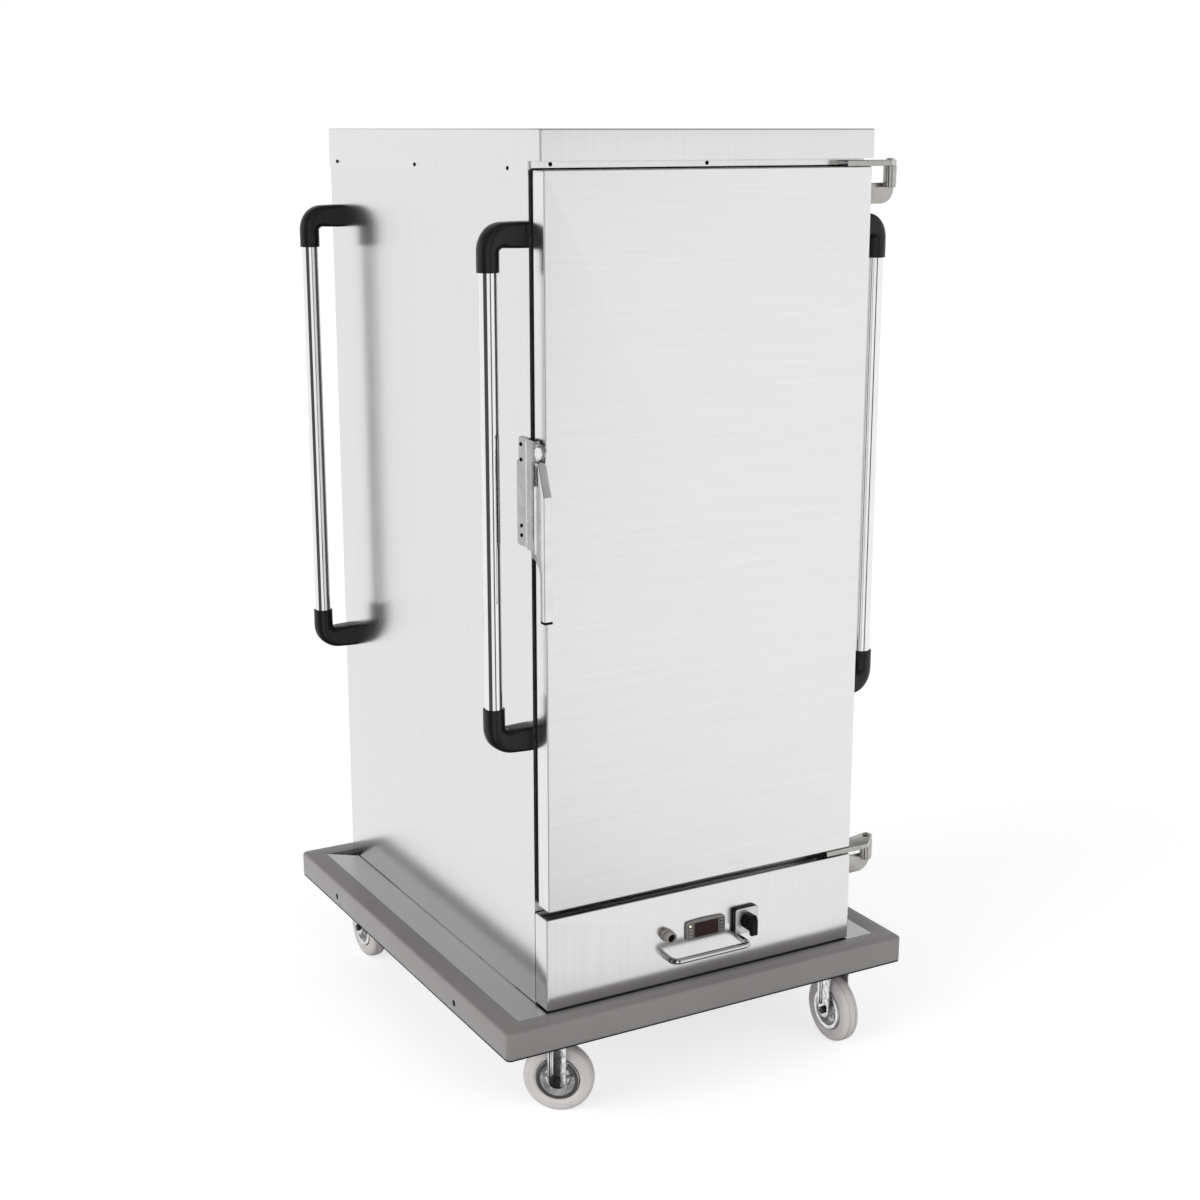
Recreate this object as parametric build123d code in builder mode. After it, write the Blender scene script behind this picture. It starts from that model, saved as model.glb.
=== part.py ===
from build123d import *
import os
from math import cos, radians, sin

os.makedirs("parts", exist_ok=True)

# Frame: +Z up, the door faces -Y, origin on the floor under the middle of the whole cart.
# Sizes are in millimetres. "Back from the front" is measured from the face of the lower front panel.

# Cabinet and base
cabinet_width = 626.0
cabinet_depth = 861.0
cabinet_height = 1453.0  # deck to the top of the cap
caster_height = 160.0  # floor to the underside of the chassis
bumper_height = 49.0
bumper_width = 40.0
bumper_corner = 10.0
bumper_edge = 5.0
bumper_front_reach = 40.0  # bumper face ahead of the cabinet front
bumper_back_reach = 47.5
bumper_side_reach = 95.5
bow_reach = 38.5  # bow handle ahead of the cabinet front
sheet = 1.5  # stainless sheet
touch_gap = 0.3  # between pieces that pass each other
run_gap = 0.05  # radial, round pins and shafts
butt_gap = 0.1  # between strips and slabs that meet end to end

deck_level = caster_height + bumper_height
top_level = deck_level + cabinet_height
half_width = cabinet_width / 2
front = (max(bow_reach, bumper_front_reach) - cabinet_depth - bumper_back_reach) / 2
back = front + cabinet_depth
bumper_front = front - bumper_front_reach
bumper_back = back + bumper_back_reach
bumper_half = half_width + bumper_side_reach
bay_half = bumper_half - bumper_width  # inside of the bumper

# Chassis channels and casters
chassis_height = 45.0
channel_wall = 3.0
rail_width = 50.0
rail_inset = 98.5  # rail's middle inboard of the bumper
caster_inset_side = 62.5  # caster's axis inboard of the bumper
caster_inset_front = 77.0  # swivel axis back from the front
caster_inset_back = 57.0  # fixed axle ahead of the back
plate_length = 105.0
plate_width = 85.0
plate_thick = 5.0
bolt_spacing_x = 60.0
bolt_spacing_y = 80.0
bolt_radius = 4.0
bolt_hole = 4.2
bolt_head_radius = 7.5
bolt_head = 5.3
wheel_radius = 62.5
wheel_trail = 50.0
left_turn = 52.0  # degrees that the front left caster is turned at rest
tyre_width = 33.0
tyre_round = 9.0
tread_groove = 1.2
tread_groove_width = 2.0
tread_groove_place = 6.5
rim_radius = 37.5
rim_wall = 3.0
rim_width = 29.0
rim_web = 5.0
rim_hole_radius = 6.0
rim_hole_circle = 24.0
rim_hole_count = 6
hub_radius = 11.0
axle_radius = 4.0
fork_gap = 39.0  # between the two legs
leg_thick = 3.5
leg_width = 40.0
leg_boss = 15.0
leg_half = 17.0  # beside the axle's upright line
leg_shoulder = 132.0
race_radius = 27.0
race_height = 6.0
crown_radius = 30.0
crown_thick = 9.0
kingpin_radius = 6.0
kingpin_head_radius = 11.0
kingpin_head = 3.0

chassis_top = caster_height + chassis_height
rail_x = bay_half - rail_inset
caster_x = bay_half - caster_inset_side
caster_front_y = front + caster_inset_front
caster_back_y = back - caster_inset_back

# Cabinet walls
seam_back = 43.0  # front edge of the side panels, back from the front
side_clear = 2.0  # under the side panels
side_insulation = 33.0
back_insulation = 45.0
bottom_flange = 30.0
cap_sheet = 2.0
cap_front_skirt = 48.0
cap_side_skirt = 69.5
cap_step_back = 41.0  # where the side skirt gets deeper
header_back = 25.0  # front of the header strip
header_clear = 2.5  # header strip's lower edge above the door
mitre = 41.0  # cut at the back of each side deck

wall_inside = half_width - sheet
liner_outside = wall_inside - side_insulation
liner_inside = liner_outside - sheet
frame_front = front + seam_back
frame_back = frame_front + sheet
wall_back = back - sheet
liner_back = wall_back - back_insulation
wall_top = top_level - cap_sheet
skirt_level = top_level - cap_front_skirt

# Lower panel and door
panel_clear = 3.5  # over the deck
panel_height = 165.0
door_gap = 13.5  # between the lower panel and the door
door_top_clear = 13.0  # door's top below the cap's front skirt
door_inset = 3.0
door_proud = 2.0
door_thick = 35.0
door_edge = 2.0
gasket_inset = 3.0
gasket_width = 12.0
gasket_squeeze = 0.5
sill_over = 18.0  # cavity floor above the door's lower edge, and ceiling below its upper edge

panel_bottom = deck_level + panel_clear
panel_top = panel_bottom + panel_height
door_bottom = panel_top + door_gap
door_top = skirt_level - door_top_clear
door_half = half_width - door_inset
door_front = front - door_proud
door_back = door_front + door_thick
bay_top = panel_top + sheet
cavity_floor = door_bottom + sill_over
cavity_top = door_top - sill_over

# Tray runners and the air port in the cavity floor
runner_first = 90.0  # lowest ledge above the cavity floor
runner_last = 54.0  # highest ledge below the cavity's ceiling
runner_count = 11
runner_ledge = 22.0
runner_web = 16.0
runner_sheet = 2.0
runner_front = 30.0  # behind the front frame
runner_back = 48.5  # ahead of the liner's back
post_thick = 7.0
post_width = 25.0
post_clear = 2.0
post_count = 3
port_width = 260.0
port_length = 220.0
grille_lap = 12.0
grille_slots = 9
grille_slot_width = 8.0

runner_start = frame_back + runner_front
runner_end = liner_back - sheet - runner_back
runner_length = runner_end - runner_start
runner_pitch = (cavity_top - cavity_floor - runner_first - runner_last) / (runner_count - 1)
post_face = liner_inside - post_thick

# Handles on the sides
handle_front = 66.0  # foot centre back from the front
handle_rear = 33.0  # foot centre ahead of the back
handle_low = 474.0  # lower arm centres above the deck
handle_drop = 160.0  # upper arm centres below the top
handle_reach = 60.0  # tube centre off the side
tube_radius = 15.0
tube_wall = 1.5
elbow_radius = 18.0
elbow_bend = 26.0
elbow_socket = 30.0  # straight length below the bend
socket_depth = 22.0
foot_size = 42.0
foot_thick = 14.0
foot_round = 9.0

# Hinges
pivot_out = 62.0  # pivot outboard of the cabinet side
pivot_back = 35.0  # pivot back from the front
arm_thick = 9.5
arm_inside = 54.0  # arm's end inboard of the cabinet side
arm_out = 37.0  # end of the arm's straight front edge, outboard of the cabinet side
arm_front = 3.0  # arm ahead of the front
arm_back = 24.5  # rear edge over the door, back from the front
arm_root = 33.0  # rear edge beside the door, back from the front
arm_side_clear = 4.0
arm_round = 11.5
arm_blend = 4.0  # where the arm's edges meet its round end
pin_radius = 4.0
pin_head_radius = 6.5
pin_head = 2.0
barrel_radius = 11.0
barrel_length = 36.0
bracket_drop = 29.0  # plate's top below the arm
bracket_height = 35.0
bracket_plate = 4.0
bracket_reach = 78.0  # plate's end outboard of the cabinet side
bracket_round = 26.0
bracket_flange = 3.0
bracket_flange_depth = 35.0
bracket_return = 4.0  # upright strip at the plate's end
bracket_return_depth = 11.0
bracket_return_lap = 7.0
bracket_return_clear = 1.5

# Latch
latch_pivot_high = 959.0  # above the deck
latch_pivot_ahead = 6.0  # pivot ahead of the front
latch_over = 17.0  # plate's top above the pivot
latch_under = 162.0  # plate's foot below the pivot
latch_plate = 3.0
latch_depth = 44.0
latch_step = 7.0
latch_step_down = 40.0
hood_front = 10.0  # raised hood's front wall back from the front
hood_wall = 2.0
hood_clear = 0.5  # front wall off the side panel's plane
hood_out = 9.0
ear_thick = 3.7
ear_radius = 14.5
latch_bolt_radius = 4.0
latch_head_radius = 10.0
latch_head = 6.0
lever_face = 33.0  # lever's face ahead of the front
lever_top_drop = 14.0  # lever's levels below the pivot
lever_knee_drop = 66.0
lever_shoulder_drop = 169.0
lever_low_drop = 266.0
lever_top_ahead = 14.0
lever_out = 15.0
lever_wall = 2.0
lever_bar_depth = 14.0
lever_web_back = 8.0
lever_curve = 30.0
tongue_radius = 12.0
tongue_thick = 3.0
lever_slot_width = 3.5
lever_slot_length = 28.0
lever_slot_ahead = 4.0
lever_slot_pitch = 7.0
strike_thick = 2.2
strike_size = 20.0

# Controls on the lower panel
control_level = 91.5  # controller's centre above the deck
controller_x = 0.0
controller_width = 81.0
controller_height = 37.0
controller_bulge = 1.6
controller_proud = 5.0
controller_corner = 5.0
case_width = 71.0
case_height = 29.0
case_depth = 55.0
window_width = 47.0
window_height = 27.0
window_left = 20.0  # window's left edge from the bezel's left edge
window_thick = 1.5
button_width = 8.5
button_height = 4.6
button_pitch = 6.6
button_count = 4
button_x = 33.0
button_thick = 2.0
button_proud = 0.4
button_pocket = 3.2
cut_gap = 0.2
cut_over = 1.0  # cuts run past the faces that they open
switch_x = 83.0
switch_level = 90.0
switch_size = 48.0
switch_corner = 4.0
switch_base_thick = 8.0
switch_face_thick = 1.5
switch_neck = 11.0
switch_body_size = 40.0
switch_body_depth = 45.0
spindle_radius = 3.0
spindle_length = 10.0
knob_radius = 14.0
knob_disc = 6.0
knob_reach = 26.0  # knob's front ahead of the face plate
knob_grip = 13.0
knob_up = 15.0
knob_down = 21.0
knob_tip = 5.0
gland_x = -78.0
gland_level = 93.0
gland_flats = 11.0  # half across the flats
gland_base = 5.0
gland_neck_radius = 9.5
gland_neck = 3.0
gland_nut_radius = 11.0
gland_reach = 19.0
gland_bore = 7.5
gland_tail_radius = 10.0
gland_tail = 12.0
gland_chamfer = 1.5
bow_x = -3.5
bow_width = 156.0
bow_level = 55.0
bow_rod = 5.5
bow_bend = 12.0

# Heating unit behind the lower panel
tray_side_clear = 36.5  # tray's edge inboard of the side panel
tray_level = 230.0
tray_length = 640.0
tray_lip = 25.0
guide_width = 30.0
guide_inset = 10.0
guide_front = 20.0
heater_radius = 4.25
heater_over = 45.0  # element above the tray
heater_half = 130.0
heater_inner = 45.0
heater_bend = 34.0
heater_flange_back = 150.0
heater_flange_thick = 3.0
heater_length = 250.0
fan_ahead = 100.0  # fan's axis ahead of the tray's end
motor_radius = 45.0
motor_height = 60.0
shaft_radius = 4.0
shaft_length = 52.0
rotor_lift = 8.0
rotor_hub = 16.0
rotor_height = 36.0
blade_reach = 88.0
blade_width = 36.0
blade_thick = 2.0
blade_tilt = 35.0
blade_count = 6

tray_half = wall_inside - tray_side_clear
fan_back = tray_length - fan_ahead

# Screws that show
screw_radius = 4.0
screw_head = 2.0
cap_screw_drop = 60.0
cap_screw_front = 110.0  # first screw back from the front
cap_screw_back = 38.0  # last screw ahead of the back
header_screw_inset = 27.5
latch_screw_top = (13.0, 38.0)  # below the latch plate's top
latch_screw_foot = (17.0, 33.0)  # above its foot
latch_screw_back = 29.0  # behind the side panel's front edge
bumper_screw_front = 169.0
bumper_screw_back = 146.0
bumper_screw_drop = 29.0
bumper_screw_sink = 5.0

cap_screw_end = cabinet_depth - cap_screw_back
cap_screw_places = (cap_screw_front, (cap_screw_front + cap_screw_end) / 2, cap_screw_end)
header_screw_places = (header_screw_inset - wall_inside, 0.0)
bumper_screw_places = (bumper_screw_front, cabinet_depth - bumper_screw_back)


def save(piece, name):
    # Label a finished piece and write its file.
    piece.part.label = name
    export_step(piece.part, f"parts/{name}.step")


def block(x0, x1, y0, y1, z0, z1, mode=Mode.ADD):
    # Box given by its limits along each axis.
    with Locations(((x0 + x1) / 2, (y0 + y1) / 2, (z0 + z1) / 2)):
        Box(x1 - x0, y1 - y0, z1 - z0, mode=mode)


def upright(x, y, z0, z1, radius, mode=Mode.ADD):
    # Cylinder along Z between two levels.
    with Locations((x, y, (z0 + z1) / 2)):
        Cylinder(radius, z1 - z0, mode=mode)


# Bumper ring
with BuildPart() as bumper:
    with BuildSketch(Plane.XY.offset(caster_height)):
        with Locations((0, (bumper_front + bumper_back) / 2)):
            RectangleRounded(2 * bumper_half, bumper_back - bumper_front, bumper_corner)
            Rectangle(2 * bay_half, bumper_back - bumper_front - 2 * bumper_width, mode=Mode.SUBTRACT)
    extrude(amount=bumper_height)
    fillet(bumper.faces().sort_by(Axis.Z)[-1].outer_wire().edges(), bumper_edge)
    fillet(bumper.faces().sort_by(Axis.Z)[0].outer_wire().edges(), bumper_edge)
    for side in (-1, 1):
        with BuildSketch(Plane.YZ.offset(side * bumper_half)):
            with Locations(*[(front + y, deck_level - bumper_screw_drop) for y in bumper_screw_places]):
                Circle(screw_radius + run_gap)
        extrude(amount=-side * bumper_screw_sink, mode=Mode.SUBTRACT)
save(bumper, "bumper")

# Chassis: two cross channels that carry the casters, and two rails between them
with BuildPart() as chassis:
    for y in (caster_front_y, caster_back_y):
        with BuildSketch(Plane.YZ.offset(-bay_half)):
            with Locations((y, caster_height)):
                Rectangle(plate_length, chassis_height, align=(Align.CENTER, Align.MIN))
            with Locations((y, caster_height + channel_wall)):
                Rectangle(
                    plate_length - 2 * channel_wall,
                    chassis_height,
                    align=(Align.CENTER, Align.MIN),
                    mode=Mode.SUBTRACT,
                )
        extrude(amount=2 * bay_half)
    rail_start = caster_front_y + plate_length / 2 + butt_gap
    rail_end = caster_back_y - plate_length / 2 - butt_gap
    for side in (-1, 1):
        with BuildSketch(Plane.XZ.offset(-rail_end)):
            with Locations((side * rail_x, caster_height)):
                Rectangle(rail_width, chassis_height, align=(Align.CENTER, Align.MIN))
            with Locations((side * rail_x, caster_height + channel_wall)):
                Rectangle(
                    rail_width - 2 * channel_wall,
                    chassis_height,
                    align=(Align.CENTER, Align.MIN),
                    mode=Mode.SUBTRACT,
                )
        extrude(amount=rail_end - rail_start)
    caster_places = [(x, y) for x in (-caster_x, caster_x) for y in (caster_front_y, caster_back_y)]
    with Locations(*[(x, y, caster_height) for x, y in caster_places]):
        with GridLocations(bolt_spacing_x, bolt_spacing_y, 2, 2):
            Cylinder(bolt_hole, 2 * channel_wall + sheet, mode=Mode.SUBTRACT)
save(chassis, "chassis")

# Side decks, cut back at the rear corner
with BuildPart() as side_decks:
    deck_end = bumper_back - bumper_width
    deck_start = bumper_front + bumper_width
    for side in (-1, 1):
        with BuildSketch(Plane.XY.offset(chassis_top)):
            with BuildLine():
                Polyline(
                    (side * half_width, deck_start),
                    (side * bay_half, deck_start),
                    (side * bay_half, deck_end),
                    (side * half_width, deck_end - mitre),
                    close=True,
                )
            make_face()
        extrude(amount=deck_level - chassis_top)
save(side_decks, "side_decks")

# Bottom panel with its upturned sides and the guides of the heating unit
with BuildPart() as bottom_panel:
    block(-wall_inside, wall_inside, frame_front, wall_back, chassis_top, chassis_top + sheet)
    guide_top = tray_level - touch_gap
    for side in (-1, 1):
        edge = sorted((side * wall_inside, side * (wall_inside - sheet)))
        block(*edge, frame_front, wall_back, chassis_top, chassis_top + bottom_flange)
        web = sorted((side * (tray_half - guide_inset), side * (tray_half - guide_inset - sheet)))
        ledge = sorted((side * (tray_half - guide_inset), side * (tray_half - guide_inset - guide_width)))
        guide_end = front + tray_length
        block(*web, frame_front + guide_front, guide_end, chassis_top, guide_top)
        block(*ledge, frame_front + guide_front, guide_end, guide_top - sheet, guide_top)
save(bottom_panel, "bottom_panel")

# Side panels
for name, side in (("left", -1), ("right", 1)):
    with BuildPart() as side_panel:
        faces_x = sorted((side * half_width, side * wall_inside))
        block(*faces_x, frame_front, back, deck_level + side_clear, wall_top)
    save(side_panel, f"side_panel_{name}")

# Back panel
with BuildPart() as back_panel:
    block(-wall_inside, wall_inside, wall_back, back, chassis_top, wall_top)
save(back_panel, "back_panel")

# Top cap: its skirts fold down outside the panels, less deep over the door
with BuildPart() as top_cap:
    skirt_low = top_level - cap_side_skirt
    block(-half_width - cap_sheet, half_width + cap_sheet, front, back + cap_sheet, skirt_low, top_level)
    block(-half_width, half_width, front + cap_sheet, back, skirt_low, wall_top, Mode.SUBTRACT)
    block(-bay_half, bay_half, front, front + cap_step_back, skirt_low, skirt_level, Mode.SUBTRACT)
save(top_cap, "top_cap")

# Header strip in the shade under the front skirt
with BuildPart() as header_strip:
    block(-wall_inside, wall_inside, front + header_back, frame_front, door_top + header_clear, skirt_level)
save(header_strip, "header_strip")

# Front frame: two jambs, a header and a sill round the door opening
with BuildPart() as front_frame:
    for side in (-1, 1):
        faces_x = sorted((side * wall_inside, side * liner_inside))
        block(*faces_x, frame_front, frame_back, bay_top, wall_top)
    for low, high in ((cavity_top, wall_top), (bay_top, cavity_floor)):
        strip_half = liner_inside - butt_gap
        block(-strip_half, strip_half, frame_front, frame_back, low, high)
save(front_frame, "front_frame")

# Inner liner, open at the front, with the air port in its floor
port_y = front + fan_back
port_start = port_y - port_length / 2
port_end = port_y + port_length / 2
with BuildPart() as inner_liner:
    low = cavity_floor - sheet
    high = cavity_top + sheet
    block(-liner_outside, liner_outside, frame_back, liner_back, low, high)
    rear = liner_back - sheet
    block(-liner_inside, liner_inside, frame_back, rear, cavity_floor, cavity_top, Mode.SUBTRACT)
    block(-port_width / 2, port_width / 2, port_start, port_end, low, cavity_floor, Mode.SUBTRACT)
save(inner_liner, "inner_liner")

# Wall insulation: sides, top, back, and a floor that leaves the air port free
with BuildPart() as wall_insulation:
    for side in (-1, 1):
        faces_x = sorted((side * wall_inside, side * liner_outside))
        block(*faces_x, frame_back, wall_back, bay_top, wall_top)
    slab_half = liner_outside - butt_gap
    ceiling = cavity_top + sheet
    block(-slab_half, slab_half, frame_back, wall_back, ceiling, wall_top)
    block(-slab_half, slab_half, liner_back, wall_back, bay_top, ceiling - butt_gap)
    for start, end in ((frame_back, port_start), (port_end, liner_back - butt_gap)):
        block(-slab_half, slab_half, start, end, bay_top, cavity_floor - sheet)
save(wall_insulation, "wall_insulation")

# Grille over the air port
with BuildPart() as floor_grille:
    grille_half = port_width / 2 + grille_lap
    grille_top = cavity_floor + sheet
    lap_ends = (port_start - grille_lap, port_end + grille_lap)
    block(-grille_half, grille_half, *lap_ends, cavity_floor, grille_top)
    with Locations((0, port_y, cavity_floor + sheet / 2)):
        with GridLocations(0, port_length / grille_slots, 1, grille_slots):
            Box(port_width, grille_slot_width, 2 * sheet, mode=Mode.SUBTRACT)
save(floor_grille, "floor_grille")

# Tray runners: angles with the web down, on three posts each side
with BuildPart() as tray_racks:
    post_step = (runner_length - post_width) / (post_count - 1)
    for side in (-1, 1):
        post_x = sorted((side * liner_inside, side * post_face))
        runner_face = post_face - butt_gap
        ledge_x = sorted((side * runner_face, side * (runner_face - runner_ledge)))
        web_x = sorted((side * runner_face, side * (runner_face - runner_sheet)))
        for i in range(post_count):
            start = runner_start + i * post_step
            block(*post_x, start, start + post_width, cavity_floor + post_clear, cavity_top - post_clear)
        for i in range(runner_count):
            level = cavity_floor + runner_first + i * runner_pitch
            block(*ledge_x, runner_start, runner_end, level - runner_sheet, level)
            block(*web_x, runner_start, runner_end, level - runner_web, level)
save(tray_racks, "tray_racks")

# Side handles: chrome tubes between black elbows
handle_places = [(side, y) for side in (-1, 1) for y in (front + handle_front, back - handle_rear)]
arm_low = deck_level + handle_low
arm_high = top_level - handle_drop
socket_end = elbow_bend + elbow_socket  # from the arm's centre to the socket's mouth
with BuildPart() as handle_tubes:
    tube_start = arm_low + socket_end - socket_depth
    tube_end = arm_high - socket_end + socket_depth
    for side, y in handle_places:
        tube_x = side * (half_width + handle_reach)
        upright(tube_x, y, tube_start, tube_end, tube_radius)
        upright(tube_x, y, tube_start, tube_end, tube_radius - tube_wall, Mode.SUBTRACT)
save(handle_tubes, "handle_tubes")

with BuildPart() as handle_elbows:
    for side, y in handle_places:
        tube_x = side * (half_width + handle_reach)
        bend_x = tube_x - side * elbow_bend
        for arm, down in ((arm_high, 1), (arm_low, -1)):
            bend_z = arm - down * elbow_bend
            with BuildSketch(Plane.YZ.offset(side * half_width)):
                with Locations((y, arm)):
                    RectangleRounded(foot_size, foot_size, foot_round)
            with BuildSketch(Plane.YZ.offset(side * (half_width + foot_thick))):
                with Locations((y, arm)):
                    Circle(elbow_radius)
            loft()
            with BuildSketch(Plane.YZ.offset(side * (half_width + foot_thick))):
                with Locations((y, arm)):
                    Circle(elbow_radius)
            extrude(amount=side * (handle_reach - foot_thick - elbow_bend))
            with BuildSketch(Plane.YZ.offset(bend_x)):
                with Locations((y, arm)):
                    Circle(elbow_radius)
            turn_axis = Axis((bend_x, y, bend_z), (0, side * down, 0))
            revolve(axis=turn_axis, revolution_arc=90)
            levels = sorted((bend_z, arm - down * socket_end))
            upright(tube_x, y, *levels, elbow_radius)
            socket = sorted((arm - down * (socket_end - socket_depth), arm - down * socket_end))
            upright(tube_x, y, *socket, tube_radius + run_gap, Mode.SUBTRACT)
save(handle_elbows, "handle_elbows")

# Hinge arms on the upper and lower ends of the door
pivot_x = half_width + pivot_out
pivot_y = front + pivot_back
arm_end = half_width - arm_inside
arm_levels = (door_top + touch_gap, door_bottom - touch_gap - arm_thick)
with BuildPart() as hinge_arms:
    for level in arm_levels:
        with BuildSketch(Plane.XY.offset(level)):
            with BuildLine():
                Polyline(
                    (arm_end, front - arm_front),
                    (half_width + arm_out, front - arm_front),
                    (pivot_x + arm_round - 1, pivot_y - arm_blend),
                    (pivot_x - arm_blend, pivot_y + arm_round - 1),
                    (half_width + arm_side_clear, front + arm_root),
                    (half_width + arm_side_clear, front + arm_back),
                    (arm_end, front + arm_back),
                    close=True,
                )
            make_face()
            with Locations((pivot_x, pivot_y)):
                Circle(arm_round)
                Circle(pin_radius + run_gap, mode=Mode.SUBTRACT)
        extrude(amount=arm_thick)
save(hinge_arms, "hinge_arms")

# Hinge brackets on the right side panel, one under each arm: flange, plate, upright strip, barrel
bracket_end = half_width + bracket_reach
bracket_back = frame_front + bracket_plate
with BuildPart() as hinge_brackets:
    for level in arm_levels:
        plate_top = level - bracket_drop
        plate_foot = plate_top - bracket_height
        with BuildSketch(Plane.XZ.offset(-frame_front)) as bracket_outline:
            Polygon(
                (half_width, plate_foot),
                (bracket_end, plate_foot),
                (bracket_end, plate_top),
                (half_width, plate_top),
                align=None,
            )
            fillet(bracket_outline.vertices().group_by(Axis.X)[-1].sort_by(Axis.Z)[0], bracket_round)
        extrude(amount=-bracket_plate)
        block(
            half_width,
            half_width + bracket_flange,
            frame_front,
            frame_front + bracket_flange_depth,
            plate_foot,
            plate_top,
        )
        block(
            bracket_end - bracket_return,
            bracket_end,
            bracket_back - bracket_return_depth,
            bracket_back,
            plate_top - bracket_return_lap,
            level - bracket_return_clear,
        )
        barrel_top = level - touch_gap
        upright(pivot_x, pivot_y, barrel_top - barrel_length, barrel_top, barrel_radius)
        upright(
            pivot_x,
            pivot_y,
            barrel_top - barrel_length,
            barrel_top,
            pin_radius + run_gap,
            Mode.SUBTRACT,
        )
save(hinge_brackets, "hinge_brackets")

# Hinge pins, headed over the arms
with BuildPart() as hinge_pins:
    for level in arm_levels:
        head_low = level + arm_thick + touch_gap
        upright(pivot_x, pivot_y, level - touch_gap - barrel_length, head_low, pin_radius)
        upright(pivot_x, pivot_y, head_low, head_low + pin_head, pin_head_radius)
save(hinge_pins, "hinge_pins")

# Latch body on the left side: plate, a raised hood over the seam and an ear that carries the lever
latch_x = -half_width
latch_y = front - latch_pivot_ahead
latch_z = deck_level + latch_pivot_high
hood_x = latch_x - hood_out
plate_low = latch_z - latch_under
plate_high = latch_z + latch_over
with BuildPart() as latch_body:
    plate_end = frame_front + latch_depth
    step_level = plate_high - latch_step_down
    block(latch_x - latch_plate, latch_x, frame_front, plate_end, plate_low, step_level)
    block(latch_x - latch_plate, latch_x, frame_front, plate_end - latch_step, step_level, plate_high)
    hood_y = front + hood_front
    hood_end = frame_front + hood_wall
    block(hood_x, latch_x, frame_front, hood_end, plate_low, plate_high)
    block(hood_x, hood_x + hood_wall, hood_y, hood_end, plate_low, plate_high)
    block(hood_x, latch_x - hood_clear, hood_y, hood_y + hood_wall, plate_low, plate_high)
    with BuildSketch(Plane.YZ.offset(hood_x)):
        with Locations((latch_y, latch_z)):
            Circle(ear_radius)
            ear_back = hood_y - butt_gap - latch_y
            Rectangle(ear_back, 2 * ear_radius, align=(Align.MIN, Align.CENTER))
            Circle(latch_bolt_radius + run_gap, mode=Mode.SUBTRACT)
    extrude(amount=ear_thick)
save(latch_body, "latch_body")

# Latch bolt, its round head outside the ear
tongue_out = hood_x + ear_thick + touch_gap
with BuildPart() as latch_bolt:
    with BuildSketch(Plane.YZ.offset(hood_x)):
        with Locations((latch_y, latch_z)):
            Circle(latch_bolt_radius)
    extrude(amount=ear_thick + touch_gap + tongue_thick)
    with BuildSketch(Plane.YZ.offset(hood_x)):
        with Locations((latch_y, latch_z)):
            Circle(latch_head_radius)
    extrude(amount=-latch_head)
save(latch_bolt, "latch_bolt")

# Latch lever: a channel, deep behind the knee, with a tongue on the bolt
with BuildPart() as latch_lever:
    lever_x = tongue_out + tongue_thick - lever_out
    face_y = front - lever_face
    bar_y = face_y + lever_bar_depth
    web_y = front + lever_web_back
    top_y = front - lever_top_ahead
    top_z = latch_z - lever_top_drop
    knee_z = latch_z - lever_knee_drop
    low_z = latch_z - lever_low_drop
    shoulder_z = latch_z - lever_shoulder_drop
    arc_share = sin(radians(45))
    with BuildSketch(Plane.YZ.offset(lever_x)) as lever_outline:
        with BuildLine():
            Polyline(
                (web_y, shoulder_z),
                (web_y, top_z),
                (top_y, top_z),
                (face_y, knee_z),
                (face_y, low_z),
                (bar_y, low_z),
                (bar_y, shoulder_z - lever_curve),
            )
            ThreePointArc(
                (bar_y, shoulder_z - lever_curve),
                (
                    web_y - (web_y - bar_y) * arc_share,
                    shoulder_z + lever_curve * (1 - 2 * arc_share),
                ),
                (web_y, shoulder_z),
            )
        make_face()
    extrude(amount=lever_out)
    with BuildSketch(Plane.YZ.offset(lever_x + lever_wall)):
        with BuildLine():
            Polyline(
                (web_y + cut_over, low_z - cut_over),
                (web_y + cut_over, top_z + cut_over),
                (top_y + lever_wall, top_z + cut_over),
                (top_y + lever_wall, top_z),
                (face_y + lever_wall, knee_z),
                (face_y + lever_wall, low_z - cut_over),
                close=True,
            )
        make_face()
    extrude(amount=lever_out - lever_wall - tongue_thick, mode=Mode.SUBTRACT)
    with BuildSketch(Plane.YZ.offset(lever_x)):
        for i in (0, 1):
            slot_y = front - lever_slot_ahead - i * lever_slot_pitch
            with Locations((slot_y, top_z - lever_slot_length)):
                SlotOverall(lever_slot_length, lever_slot_width, rotation=90)
    extrude(amount=lever_wall, mode=Mode.SUBTRACT)
    with BuildSketch(Plane.YZ.offset(tongue_out)):
        with Locations((latch_y, latch_z)):
            Circle(tongue_radius)
            Rectangle(2 * tongue_radius, lever_top_drop, align=(Align.CENTER, Align.MAX))
            Circle(latch_bolt_radius + run_gap, mode=Mode.SUBTRACT)
    extrude(amount=tongue_thick)
save(latch_lever, "latch_lever")

# Door: outer skin, inner skin, insulation, gasket and the strike beside the latch
with BuildPart() as door_skin:
    block(-door_half, door_half, door_front, door_back, door_bottom, door_top)
    fillet(door_skin.faces().sort_by(Axis.Y)[0].edges(), door_edge)
    inner_half = door_half - sheet
    inner_low = door_bottom + sheet
    inner_high = door_top - sheet
    block(-inner_half, inner_half, door_front + sheet, door_back, inner_low, inner_high, Mode.SUBTRACT)
save(door_skin, "door_skin")

with BuildPart() as door_liner:
    block(-inner_half, inner_half, door_back - sheet, door_back, inner_low, inner_high)
save(door_liner, "door_liner")

with BuildPart() as door_insulation:
    block(-inner_half, inner_half, door_front + sheet, door_back - sheet, inner_low, inner_high)
save(door_insulation, "door_insulation")

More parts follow.
